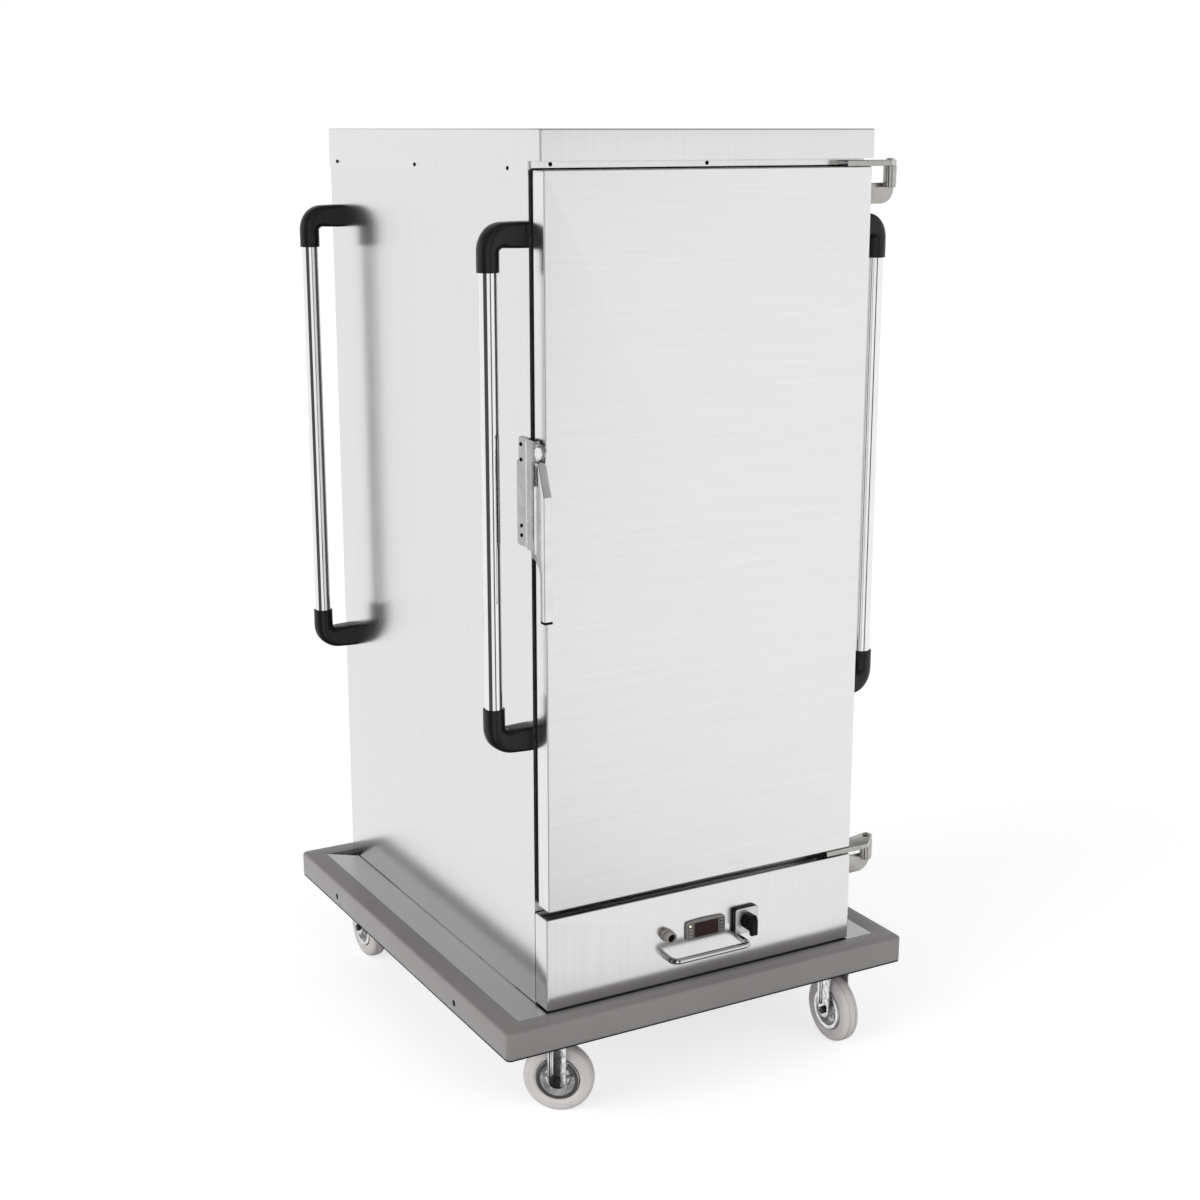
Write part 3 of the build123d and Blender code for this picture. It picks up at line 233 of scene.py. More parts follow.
# finish: two tones mixed by noise, with noise in the roughness and the bump
def makeFinish(name, v):
    mat = bpy.data.materials.new(name)
    mat.use_nodes = True
    fill, add, _, ranged = treeTools(mat.node_tree)
    place = add("ShaderNodeTexCoord").outputs["Object"]
    stretch = v.get("stretch", (1, 1, 1))
    place = add("ShaderNodeMapping", (("Vector", place), ("Scale", stretch))).outputs["Vector"]

    def noise(scale, detail=3.0):
        inputs = (("Vector", place), ("Scale", scale), ("Detail", detail))
        return add("ShaderNodeTexNoise", inputs).outputs["Fac"]

    share = ranged(noise(v.get("grain", 30)), (0.35, 0.65, 0, 1))
    tones = ((0, share), (6, (*v["tone"], 1)), (7, (*v["away"], 1)))
    rough, swing = v["rough"], v.get("swing", 0.04)
    bump = (("Strength", v.get("bump", 0.1)), ("Distance", v.get("depth", 0.0003)),
            ("Height", noise(v.get("pits", 400), 2.0)))
    inputs = [("Base Color", add("ShaderNodeMix", tones, data_type="RGBA").outputs[2]),
              ("Roughness", ranged(noise(v.get("smear", 60)), (0.3, 0.7, rough - swing, rough + swing))),
              ("Normal", add("ShaderNodeBump", bump).outputs[0]),
              ("Metallic", v.get("metal", 0.0)), ("Specular IOR Level", v.get("sheen", 0.5))]
    if "glow" in v:
        inputs += [("Emission Color", (*v["tone"], 1)), ("Emission Strength", v["glow"])]
    fill(mat.node_tree.nodes["Principled BSDF"], inputs)
    return mat


finishValues = {
    "satinSteel": dict(tone=(0.775, 0.762, 0.768), away=(0.762, 0.749, 0.755), metal=1.0, rough=0.2,
                       swing=0.015, grain=260, smear=140, stretch=(1, 1, 0.02), pits=420, bump=0.012,
                       depth=0.0002),
    "doorSteel": dict(tone=(0.825, 0.814, 0.82), away=(0.812, 0.801, 0.807), metal=1.0, rough=0.24,
                      swing=0.015, grain=260, smear=140, stretch=(0.02, 1, 1), pits=420, bump=0.012,
                      depth=0.0002),
    "deckSteel": dict(tone=(0.87, 0.86, 0.86), away=(0.81, 0.80, 0.80), metal=1.0, rough=0.33, grain=14,
                      smear=40, stretch=(1, 0.1, 1), pits=300, bump=0.05),
    "innerSteel": dict(tone=(0.70, 0.70, 0.70), away=(0.64, 0.64, 0.64), metal=1.0, rough=0.34, grain=20,
                       smear=120, stretch=(1, 0.06, 1), pits=500, bump=0.06),
    # near-black chassis, dark enough to stand in for the shade seen through the openings in the deck: painted
    # shade
    "chassisShadeBlack": dict(tone=(0.03, 0.03, 0.03), away=(0.05, 0.05, 0.048), rough=0.55, pits=900, bump=0.15),
    "bumperGrey": dict(tone=(0.235, 0.225, 0.22), away=(0.214, 0.205, 0.20), rough=0.3, swing=0.01, sheen=0.6,
                       grain=5, smear=25, pits=1400, bump=0.02),
    "foam": dict(tone=(0.74, 0.66, 0.42), away=(0.64, 0.56, 0.35), rough=0.9, grain=60, pits=500, bump=0.5,
                 depth=0.001),
    "gasketBlack": dict(tone=(0.006, 0.006, 0.006), away=(0.010, 0.010, 0.010), rough=0.7, sheen=0.1,
                        pits=700, bump=0.1),
    "chrome": dict(tone=(0.86, 0.86, 0.865), away=(0.83, 0.83, 0.835), metal=1.0, rough=0.07, swing=0.02,
                   grain=20, pits=60, bump=0.01),
    # darker copy of chrome for the bow handle: painted shade for its greyer reflections
    "shadedChrome": dict(tone=(0.68, 0.68, 0.685), away=(0.60, 0.60, 0.605), metal=1.0, rough=0.08, swing=0.02,
                      grain=20, pits=60, bump=0.01),
    "elbowBlack": dict(tone=(0.0070, 0.0070, 0.0064), away=(0.0095, 0.0095, 0.0088), rough=0.3, sheen=0.32,
                       grain=90, pits=1800, bump=0.08, depth=0.0002),
    "hingeNickel": dict(tone=(0.47, 0.46, 0.435), away=(0.38, 0.37, 0.345), metal=1.0, rough=0.22, grain=40,
                        pits=300, bump=0.04),
    "latchBright": dict(tone=(0.80, 0.79, 0.785), away=(0.74, 0.73, 0.725), metal=1.0, rough=0.16, grain=35,
                        pits=200, bump=0.03),
    "latchGrey": dict(tone=(0.44, 0.435, 0.43), away=(0.37, 0.366, 0.36), metal=1.0, rough=0.2, grain=35,
                      pits=200, bump=0.03),
    # flat white non-metal: painted highlight, on the latch bolt's head, the hood's bend and the lever's rib
    "whiteHighlight": dict(tone=(0.80, 0.80, 0.79), away=(0.74, 0.74, 0.73), rough=0.35, grain=80, pits=400,
                      bump=0.05),
    # flat black: painted shade in holes, slots, gaps and recesses; also plain black for some screw heads, the
    # lever's end plug and the line beside the window
    "holeBlack": dict(tone=(0.004, 0.004, 0.004), away=(0.007, 0.007, 0.007), rough=0.7, sheen=0.05),
    "screwZinc": dict(tone=(0.58, 0.57, 0.55), away=(0.46, 0.45, 0.43), metal=1.0, rough=0.3, grain=200,
                      pits=600, bump=0.08),
    "casterZinc": dict(tone=(0.84, 0.84, 0.83), away=(0.46, 0.47, 0.46), metal=1.0, rough=0.1, swing=0.05,
                       grain=130, smear=90, pits=260, bump=0.16, depth=0.0008),
    "rimZinc": dict(tone=(0.80, 0.80, 0.79), away=(0.55, 0.55, 0.54), metal=1.0, rough=0.15, swing=0.06,
                    grain=60, pits=250, bump=0.08),
    "rimDull": dict(tone=(0.88, 0.88, 0.87), away=(0.50, 0.50, 0.49), metal=0.6, rough=0.18, grain=60,
                    pits=250, bump=0.08),
    "axleDark": dict(tone=(0.02, 0.02, 0.02), away=(0.04, 0.04, 0.04), metal=0.6, rough=0.4, grain=150,
                     pits=700, bump=0.1),
    "tyreGrey": dict(tone=(0.62, 0.592, 0.586), away=(0.565, 0.54, 0.534), rough=0.62, grain=25, pits=900,
                     bump=0.12),
    "glandGrey": dict(tone=(0.30, 0.28, 0.262), away=(0.26, 0.243, 0.228), rough=0.5, grain=120, pits=1500,
                      bump=0.1),
    "bezelGrey": dict(tone=(0.135, 0.130, 0.118), away=(0.12, 0.115, 0.105), rough=0.45, grain=120, pits=1800,
                      bump=0.1),
    "bezelRim": dict(tone=(0.20, 0.193, 0.18), away=(0.18, 0.173, 0.16), rough=0.4, grain=120, pits=1800,
                     bump=0.1),
    "buttonGrey": dict(tone=(0.17, 0.163, 0.152), away=(0.15, 0.144, 0.134), rough=0.42, grain=150, pits=1800,
                       bump=0.1),
    "windowDark": dict(tone=(0.034, 0.0185, 0.018), away=(0.030, 0.016, 0.016), rough=0.4, sheen=0.08,
                       pits=80, bump=0.01),
    "ledGlow": dict(tone=(0.95, 1.0, 0.62), away=(0.90, 1.0, 0.55), rough=0.3, glow=1.6),
    "switchBlack": dict(tone=(0.004, 0.004, 0.004), away=(0.006, 0.006, 0.006), rough=0.36, sheen=0.14,
                        grain=120, pits=1200, bump=0.08),
    "switchSilver": dict(tone=(0.70, 0.70, 0.695), away=(0.63, 0.63, 0.625), metal=1.0, rough=0.36, grain=60,
                         stretch=(1, 1, 0.05), pits=1500, bump=0.08),
    "heaterSheath": dict(tone=(0.27, 0.24, 0.22), away=(0.20, 0.15, 0.16), metal=1.0, rough=0.4, grain=30,
                         pits=400, bump=0.1),
    "motorGrey": dict(tone=(0.12, 0.13, 0.14), away=(0.10, 0.11, 0.12), rough=0.45, grain=60, pits=900,
                      bump=0.15),
    "fanBright": dict(tone=(0.68, 0.68, 0.69), away=(0.58, 0.58, 0.59), metal=1.0, rough=0.35, grain=60,
                      pits=500, bump=0.08),
}
finishes = {name: makeFinish(name, v) for name, v in finishValues.items()}
print("finishes made,", len(finishes))

# CAD nodes whose shape is right keep it and take a finish
plainNodes = {
    "satinSteel": ["side_panel_left", "side_panel_right", "back_panel", "header_strip"],
    "deckSteel": ["side_decks", "bottom_panel"],
    "innerSteel": ["front_frame", "inner_liner", "door_liner", "floor_grille", "tray_racks", "heater_tray"],
    # chassis in near black as painted shade
    "chassisShadeBlack": ["chassis"],
    "foam": ["wall_insulation", "door_insulation"],
    "latchBright": ["latch_strike"],
}
for finish, names in plainNodes.items():
    for name in names:
        nodes[name].data.materials.clear()
        nodes[name].data.materials.append(finishes[finish])

# bumper: a rounded bar section carried round a rounded rectangle
bumper = dict(halfX=408.5, low=160.0, high=209.0, width=40.0, corner=10.0, edge=5.0, y0=front - 40.0,
              y1=back + 47.5)


def bumperRing(v):  # each section point is a loop set in by its depth
    w, h, e = v["width"] / 2, (v["high"] - v["low"]) / 2, v["edge"]
    section = rounded([(-w, -h), (w, -h), (w, h), (-w, h)], [e, 0.6, 0.6, e], 7)
    inset, level = section[:, 0] + v["width"] / 2, section[:, 1] + (v["high"] + v["low"]) / 2
    w, h = 2 * v["halfX"], v["y1"] - v["y0"]
    loops = [boxOutline(w - 2 * d, h - 2 * d, max(v["corner"] - 0.35 * d, 2), 10, 0,
                        (v["y0"] + v["y1"]) / 2) for d in inset]
    grid = np.stack([np.column_stack([loop, np.full(len(loop), z)]) for loop, z in zip(loops, level)])
    return gridShape(grid, True, True)


bead = dict(halfX=407.9, low=159.6, high=161.6, width=6.0, corner=9.5, edge=0.5, y0=front - 39.4,
            y1=back + 46.9)
# dark bead under the outer edge: painted shade along the bumper's underside, in the gasket's black
bumperParts = [(bumperRing(bumper), "bumperGrey"), (bumperRing(bead), "gasketBlack")]
addPiece("bumperRing", bumperParts, "cabinet", ["bumper"])

# top cap: a pan turned upside down, its rim higher over the door
cap = dict(half=315.0, y0=front, y1=back + 2.0, frontSkirt=48.0, sideSkirt=69.5, step=41.0, wall=2.0,
           edge=2.4)


def capPan(v):  # the rim steps down behind the door
    s = v["y0"] + v["step"]
    x = v["half"]
    ends = rounded([(-x, v["y0"]), (x, v["y0"]), (x, v["y1"]), (-x, v["y1"])], 3.0, 5)
    steps = np.array([(x, s - 0.05), (x, s + 0.05), (-x, s + 0.05), (-x, s - 0.05)])
    outline = np.vstack([ends[:10], steps[:2], ends[10:], steps[2:]])
    rim = np.where(outline[:, 1] < s, cart["top"] - v["frontSkirt"], cart["top"] - v["sideSkirt"])
    return pan(outline, rim, cart["top"], v["wall"], v["edge"])


addPiece("topCap", [(capPan(cap), "satinSteel")], "cabinet", ["top_cap"])

# door skin and lower panel: pans that face the front, drawn in (x, z) with w to the front
door = dict(half=310.0, low=391.0, high=1601.0, face=2.0, rim=-33.0, wall=1.5, edge=2.2, corner=3.0)
lowerPanel = dict(half=313.0, low=212.5, high=377.5, face=0.0, rim=-41.0, wall=1.5, edge=2.2, corner=3.0)


def frontPan(v):  # a pan over a box outline, its face to the front
    outline = boxOutline(2 * v["half"], v["high"] - v["low"], v["corner"], 5, 0, (v["high"] + v["low"]) / 2)
    return placed(pan(outline, v["rim"], v["face"], v["wall"], v["edge"]), (0, front, 0), xDir, zDir)


addPiece("doorSkin", [(frontPan(door), "doorSteel")], "door", ["door_skin"])
addPiece("lowerPanel", [(frontPan(lowerPanel), "satinSteel")], "heating_unit", ["control_panel"])

# door gasket: a soft rounded bar round the inside of the door
gasket = dict(half=309.0, low=392.0, high=1602.8, width=12.0, y0=front + 33.0, y1=front + 42.5)


def gasketRing(v):  # each section point is a loop set in by its depth
    section = boxOutline(v["width"], v["y1"] - v["y0"], 3.0, 5)
    inset, depth = section[:, 0] + v["width"] / 2, section[:, 1] + (v["y0"] + v["y1"]) / 2
    w, h, mid = 2 * v["half"], v["high"] - v["low"], (v["high"] + v["low"]) / 2
    loops = [boxOutline(w - 2 * d, h - 2 * d, max(8 - 0.5 * d, 1), 6, 0, mid) for d in inset]
    rows = [np.column_stack([p[:, 0], np.full(len(p), y), p[:, 1]]) for p, y in zip(loops, depth)]
    return gridShape(np.stack(rows), True, True)


addPiece("doorSeal", [(gasketRing(gasket), "gasketBlack")], "door", ["door_gasket"])
print("cabinet shell made")

# handles: chrome tubes in black elbows whose section goes from a soft square to round
handle = dict(x=373.0, ys=(front + 66.0, back - 33.0), low=683.0, high=1502.0, tube=15.0, bend=26.0,
              socket=56.0, foot=20.5, end=18.2, square=7.0, tubeStart=34.5)


def handleElbow(v, side, y, arm, down):  # a super-ellipse section that eases to a circle along a quarter turn
    reach = v["x"] - half
    t = np.linspace(0, np.pi / 2, 20)
    flat = np.linspace(0, reach - v["bend"], 10)[:-1]
    fall = np.linspace(v["bend"], v["socket"], 9)[1:]
    out = np.concatenate([flat, reach - v["bend"] + v["bend"] * np.sin(t), np.full(8, reach)])
    drop = np.concatenate([np.zeros(9), v["bend"] * (1 - np.cos(t)), fall])
    turn = np.concatenate([np.zeros(9), t, np.full(8, np.pi / 2)])
    share = np.clip(np.arange(len(out)) / (len(out) - 9), 0, 1)  # 0 at the foot, 1 where it is round
    share = share * share * (3 - 2 * share)
    size = v["foot"] + (v["end"] - v["foot"]) * share
    power = 2 / (v["square"] + (2 - v["square"]) * share ** 0.6)
    a = np.linspace(0, 2 * np.pi, 56, endpoint=False)
    c = np.sign(np.cos(a)) * np.abs(np.cos(a)) ** power[:, None]
    s = np.sign(np.sin(a)) * np.abs(np.sin(a)) ** power[:, None]
    lift = size[:, None] * c  # away from the bend's inside
    across = size[:, None] * s
    px = out[:, None] + lift * np.sin(turn)[:, None]
    pz = -drop[:, None] + lift * np.cos(turn)[:, None]
    rows = np.stack([side * (half + px), y + across, arm + down * pz], -1)
    mouth = rows[-1]
    centre = np.array([side * v["x"], y, mouth[0, 2]])
    lip = [(0.6, 0.985), (0.8, 0.95), (0.8, 0.86), (-3.0, 0.845)]  # rounded lip, then a short bore
    tail = [centre + (mouth - centre) * r - np.array([0, 0, down * d]) for d, r in lip]
    return gridShape(np.concatenate([rows, np.stack(tail)]))


elbowParts, tubeParts = [], []
for side in (-1, 1):
    for y in handle["ys"]:
        elbowParts += [(handleElbow(handle, side, y, handle["high"], 1), "elbowBlack")]
        elbowParts += [(handleElbow(handle, side, y, handle["low"], -1), "elbowBlack")]
        z0, z1 = handle["low"] + handle["tubeStart"], handle["high"] - handle["tubeStart"]
        tube = cylinder(handle["tube"], z0, z1, 72)
        tubeParts += [(placed(tube, (side * handle["x"], y, 0), xDir, yDir), "chrome")]
addPiece("handleElbows", elbowParts, "cabinet", ["handle_elbows"], 50)
addPiece("handleTubes", tubeParts, "cabinet", ["handle_tubes"])
print("handles made")

# hinges: arms on the door's ends, folded brackets and pins on the cabinet
hinge = dict(x=375.0, y=front + 35.0, arms=(1601.3, 381.2), armIn=259.0, armFront=front - 3.0,
             armBack=front + 24.5, knee=350.0, heel=317.0, heelY=front + 33.0, thick=9.5, round=11.5,
             barrel=11.0, barrelLength=36.0, gap=0.3, plateDrop=29.0, plateTall=35.0, plateEnd=391.0,
             plateRound=26.0, pin=4.0, head=6.5, plateFront=43.0, plateBack=47.0, stripFront=36.0, strip=4.0,
             flange=3.0, flangeBack=78.0, screwY=66.0, edge=0.7)


def hingeArm(v, level):  # bar along the door's end, then out to a round eye about the pin
    t = np.radians(np.linspace(-20, 110, 21))
    eye = np.stack([v["x"] + v["round"] * np.cos(t), v["y"] + v["round"] * np.sin(t)], 1)
    outline = np.vstack([[(v["armIn"], v["armFront"]), (v["knee"], v["armFront"])], eye,
                         [(v["heel"], v["heelY"]), (v["heel"], v["armBack"]), (v["armIn"], v["armBack"])]])
    return plate(outline, level, level + v["thick"], 0.9)


def hingePlate(v, low, high):  # sheet that faces the front, its outer lower corner rounded off
    outline = rounded([(half, low), (v["plateEnd"], low), (v["plateEnd"], high), (half, high)],
                      [0.5, v["plateRound"], 0.8, 0.5], 10)
    sheet = plate(outline, -v["plateBack"], -v["plateFront"], v["edge"])
    return placed(sheet, (0, front, 0), xDir, zDir)


def upright(x, y, profile, count=48):  # a turned profile stood on the floor plane
    return placed(turned(profile, count), (x, y, 0), xDir, yDir)


def barrelProfile(r, low, high, edge=0.8):  # a cylinder's profile with both rims bevelled
    return [(0, low), (r - edge, low), (r, low + edge), (r, high - edge), (r - edge, high), (0, high)]


armParts, bracketParts, pinParts = [], [], []
for level in hinge["arms"]:
    high = level - hinge["plateDrop"]
    low = high - hinge["plateTall"]
    mouth = level - hinge["gap"]
    foot = mouth - hinge["barrelLength"]
    cap0 = level + hinge["thick"] + hinge["gap"]
    armParts += [(hingeArm(hinge, level), "hingeNickel")]
    strip = block((hinge["plateEnd"] - hinge["strip"], front + hinge["stripFront"], high - 7),
                  (hinge["plateEnd"], front + hinge["plateBack"], level - 1.5), hinge["edge"])
    flange = block((half, front + hinge["plateFront"], low),
                   (half + hinge["flange"], front + hinge["flangeBack"], high), hinge["edge"])
    barrel = upright(hinge["x"], hinge["y"], barrelProfile(hinge["barrel"], foot, mouth))
    bracketParts += [(s, "hingeNickel") for s in (hingePlate(hinge, low, high), barrel, strip, flange)]
    for share in (0.25, 0.75):
        screw = turned([(0, 1.6), (2.2, 1.4), (3.6, 0.6), (3.8, 0), (0, 0)], 24)
        place = (half + hinge["flange"], front + hinge["screwY"], low + share * (high - low))
        bracketParts += [(placed(screw, place, yDir, zDir), "screwZinc")]
    r = hinge["head"]
    head = [(0, cap0), (r, cap0), (r, cap0 + 1.4), (r - 0.6, cap0 + 2.0), (2.6, cap0 + 2.0),
            (2.6, cap0 + 0.8), (0, cap0 + 0.8)]
    # black disc at the bottom of the pin head's recess: painted shade
    dimpleShade = [(0, cap0 + 0.9), (2.5, cap0 + 0.9), (2.5, cap0 + 1.0), (0, cap0 + 1.0)]
    rod = barrelProfile(hinge["pin"], foot, cap0, 0.5)
    for profile, finish in ((head, "hingeNickel"), (dimpleShade, "holeBlack"), (rod, "hingeNickel")):
        pinParts += [(upright(hinge["x"], hinge["y"], profile), finish)]
addPiece("hingeArms", armParts, "door", ["hinge_arms"])
addPiece("hingeBrackets", bracketParts, "cabinet", ["hinge_brackets"])
addPiece("hingePins", pinParts, "cabinet", ["hinge_pins"])
print("hinges made")

# latch: plate with rounded corners, raised hood, ear, round bolt; drawn in (y, z) with w to the left
latch = dict(x=-313.0, y0=front + 43.0, y1=front + 87.0, y2=front + 80.0, low=1006.0, high=1185.0,
             step=1145.0, hood=9.0, hoodFront=10.0, hoodBack=45.0, pivotY=front - 6.0, pivotZ=1168.0,
             ear=14.5, earIn=5.3, earBack=9.9, sheet=3.0)


def sidePlate(outline, low, high, edge=0.7):  # outline in (-y, z), w grows to the left
    return placed(plate(outline, low, high, edge), (0, 0, 0), -yDir, zDir)


def latchPlate(v):  # stepped outline with its corners rounded
    outline = rounded([(-v["y1"], v["low"]), (-v["y0"], v["low"]), (-v["y0"], v["high"]),
                       (-v["y2"], v["high"]), (-v["y2"], v["step"]), (-v["y1"], v["step"])],
                      [5, 1, 1, 7, 1, 2], 6)
    return sidePlate(outline, half, half + v["sheet"])


def latchHood(v):  # bent sheet over the seam, its section in (outward, forward) carried up
    o, f, r = half + v["hood"], -front - v["hoodFront"], -front - v["hoodBack"]
    outline = rounded([(half, r), (o, r), (o, f), (half + 0.5, f), (half + 0.5, f - 2), (o - 2, f - 2),
                       (o - 2, r + 2), (half, r + 2)],
                      [0.2, 8.0, 3.2, 0.2, 0.2, 1.2, 6.0, 0.2], 7)
    return placed(plate(outline, v["low"], v["high"], 0.2), (0, 0, 0), -xDir, -yDir)


def latchEar(v):  # half circle about the bolt, run back to the hood
    t = np.linspace(-np.pi / 2, np.pi / 2, 21)
    nose = np.stack([-v["pivotY"] + v["ear"] * np.cos(t), v["pivotZ"] + v["ear"] * np.sin(t)], 1)
    rear = -front - v["earBack"]
    outline = np.vstack([[(rear, v["pivotZ"] - v["ear"])], nose, [(rear, v["pivotZ"] + v["ear"])]])
    return sidePlate(outline, half + v["earIn"], half + v["hood"], 0.8)


def uprightBead(x, y, r, low, high):  # half-round bead that stands out to the left
    t = np.linspace(np.pi / 2, 3 * np.pi / 2, 13)
    outline = np.stack([x + r * np.cos(t), y + r * np.sin(t)], 1)
    return plate(outline, low, high, 0.3)


latchParts = [(latchPlate(latch), "latchGrey"), (latchHood(latch), "latchGrey"),
              (latchEar(latch), "latchGrey")]
# bright bend of the hood: painted highlight, a flat white bead along the bend
bend = uprightBead(-half - latch["hood"] + 2.2, front + 43.2, 2.4, latch["low"], latch["high"] - 3)
latchParts += [(bend, "whiteHighlight")]
addPiece("latchBody", latchParts, "cabinet", ["latch_body"])
# bolt head in flat white: painted highlight on its round face
boltHead = [(0, 5.0), (8.6, 5.0), (9.8, 4.4), (10.3, 3.2), (10.3, 0.6), (9.7, 0.0), (4.0, 0.0), (4.0, -7.0),
            (0, -7.0)]
boltX, boltY, boltZ = -half - latch["hood"], latch["pivotY"], latch["pivotZ"]
boltParts = [(placed(turned(boltHead, 56), (boltX, boltY, boltZ), -yDir, zDir), "whiteHighlight")]
# black ring set off down and back from the bolt: painted shade, a dark crescent as of a recess round the head
crescentShade = flatRing(10.4, 12.5, -0.2, 0.15, 56)
boltParts += [(placed(crescentShade, (boltX, boltY + 1.6, boltZ - 1.0), -yDir, zDir), "holeBlack")]
addPiece("latchBolt", boltParts, "cabinet", ["latch_bolt"])

# lever: a channel; at each height its section runs from the inner web round the front to the outer web
lever = dict(xIn=-315.0, xOut=-330.0, face=front - 33.0, top=front - 14.0, topZ=1154.0, kneeZ=1102.0,
             low=902.0, bar=front - 19.0, web=front + 8.0, shoulder=999.0, curve=30.0, wall=2.0, round=1.6,
             tongue=12, tongueWall=3.0, slots=(4.0, 11.0), ribY=front - 5.0, ribLow=1008.0, ribHigh=1116.0)


def leverChannel(v):  # front line bends at the knee, rear line follows a quarter ellipse at the shoulder
    z = np.unique(np.concatenate([np.linspace(v["low"], v["shoulder"] - v["curve"], 10),
                                  np.linspace(v["shoulder"] - v["curve"], v["shoulder"], 24),
                                  np.linspace(v["shoulder"], v["kneeZ"] - 1, 10),
                                  np.linspace(v["kneeZ"] - 1, v["kneeZ"] + 1, 4),
                                  np.linspace(v["kneeZ"] + 1, v["topZ"], 12)]))
    fore = np.interp(z, [v["low"], v["kneeZ"], v["topZ"]], [v["face"], v["face"], v["top"]])
    t = np.clip((z - v["shoulder"] + v["curve"]) / v["curve"], 0, 1)
    rear = v["bar"] + (v["web"] - v["bar"]) * (1 - np.sqrt(np.clip(1 - t * t, 0, 1)))
    q = np.linspace(0, np.pi / 2, 6)
    r, w = v["round"], v["wall"]

    def path(inset):  # (x, share of the way from front to rear, offset from the front)
        xo, xi, rr = v["xOut"] + inset, v["xIn"] - inset, max(r - inset, 0.3)
        x = np.concatenate([[xi], xi - rr + rr * np.cos(q), xo + rr - rr * np.cos(q[::-1]), [xo]])
        off = np.concatenate([[0.0], inset + rr - rr * np.sin(q), inset + rr - rr * np.sin(q[::-1]), [0.0]])
        atRear = np.concatenate([[1.0], np.zeros(12), [1.0]])
        return x, off, atRear
    outer, inner = path(0.0), path(w)
    x = np.concatenate([outer[0], inner[0][::-1]])
    off = np.concatenate([outer[1], inner[1][::-1]])
    atRear = np.concatenate([outer[2], inner[2][::-1]])
    y = np.where(atRear[None] > 0.5, rear[:, None], fore[:, None] + off[None])
    grid = np.stack([np.broadcast_to(x, y.shape), y, np.broadcast_to(z[:, None], y.shape)], -1)
    return gridShape(grid)


def leverTongue(v):  # half circle about the bolt, run down into the channel
    t = np.linspace(0, np.pi, 21)
    y, z, r = latch["pivotY"], latch["pivotZ"], v["tongue"]
    nose = np.stack([-y + r * np.cos(t), z + r * np.sin(t)], 1)
    outline = np.vstack([nose, [(-y - r, v["topZ"] - 4), (-y + 9, v["topZ"] - 6)]])
    return sidePlate(outline, -v["xIn"], -v["xIn"] + v["tongueWall"], 0.5)


def leverSlot(v, y):  # a thin dark box with round ends: painted shade standing for a slot
    outline = boxOutline(4.5, 32.0, 2.2, 6, -y, v["topZ"] - 20.5)
    return sidePlate(outline, -v["xOut"] - 0.4, -v["xOut"] + 0.12, 0.1)


leverParts = [(leverChannel(lever), "latchBright"), (leverTongue(lever), "latchBright")]
leverParts += [(leverSlot(lever, front - y), "holeBlack") for y in lever["slots"]]
plug = block((lever["xOut"], lever["face"], lever["low"] - 4.5),
             (lever["xIn"], lever["bar"], lever["low"] + 0.1), 0.6)
# pressed rib below the slots, in flat white: painted highlight along the lever's edge
rib = uprightBead(lever["xOut"] + 0.8, lever["ribY"], 2.8, lever["ribLow"], lever["ribHigh"])
leverParts += [(rib, "whiteHighlight"), (plug, "holeBlack")]
addPiece("latchLever", leverParts, "latch_lever", ["latch_lever"], 30)
print("latch made")

# controls on the lower panel, drawn in (x, z) with w to the front
controls = dict(bowLeft=-81.5, bowRight=74.5, bowZ=264.0, bowY=front - 33.0, bowRod=5.5, bowBend=12.0)


def frontShape(shape, x=0.0, z=0.0, out=0.0):  # drawn in (x, z), stands out to the front
    return placed(shape, (x, front - out, z), xDir, zDir)


def bowHandle(v):  # a circle carried along three runs with round bends
    path = bentPath([(v["bowLeft"], front + 0.5, v["bowZ"]), (v["bowLeft"], v["bowY"], v["bowZ"]),
                     (v["bowRight"], v["bowY"], v["bowZ"]), (v["bowRight"], front + 0.5, v["bowZ"])],
                    v["bowBend"], 14)
    return carried(ringOutline(v["bowRod"], 32), path, zDir)


addPiece("bowHandle", [(bowHandle(controls), "shadedChrome")], "heating_unit", ["bow_handle"])

gland = dict(x=-78.0, z=302.0, flats=11.0)


def hexOutline(flats, round=1.0):  # six corners at flats / cos 30, rounded
    t = np.arange(6) * np.pi / 3 + np.pi / 6
    return rounded(np.stack([np.cos(t), np.sin(t)], 1) * flats / math.cos(math.pi / 6), round, 4)


neck = [(8.0, 4.6), (9.5, 4.6), (9.5, 5.6), (8.9, 6.2), (8.9, 8.4), (8.0, 8.4)]
nut = [(7.5, 8.0), (10.6, 8.0), (11.0, 8.5), (11.0, 12.0), (10.5, 12.6), (10.5, 13.2), (11.0, 13.8),
       (11.0, 16.0), (10.4, 17.6), (9.6, 18.7), (8.9, 19.0), (8.1, 19.0), (7.5, 18.4)]
# the neck in the dark axle finish is painted shade in the groove between base and nut; the black disc in the
# nut's bore is painted shade in the bore
glandShapes = [(plate(hexOutline(gland["flats"]), 0.0, 5.0, 0.8), "glandGrey"),
               (turned(neck, 48, True), "axleDark"), (turned(nut, 96, True, 0.018, 12), "glandGrey"),
               (cylinder(7.48, 12.0, 14.0), "holeBlack"), (flatRing(7.5, 10.0, -12.0, 0.0, 48), "glandGrey")]
glandParts = [(frontShape(s, gland["x"], gland["z"]), finish) for s, finish in glandShapes]
addPiece("cableGland", glandParts, "heating_unit", ["cable_gland"])

controller = dict(z=300.5, half=40.5, tall=18.5, bulge=1.6, bow=1.2, proud=5.0, windowX=1.0, windowW=49.0,
                  windowH=27.0, keyX=33.0, keyPitch=6.6)


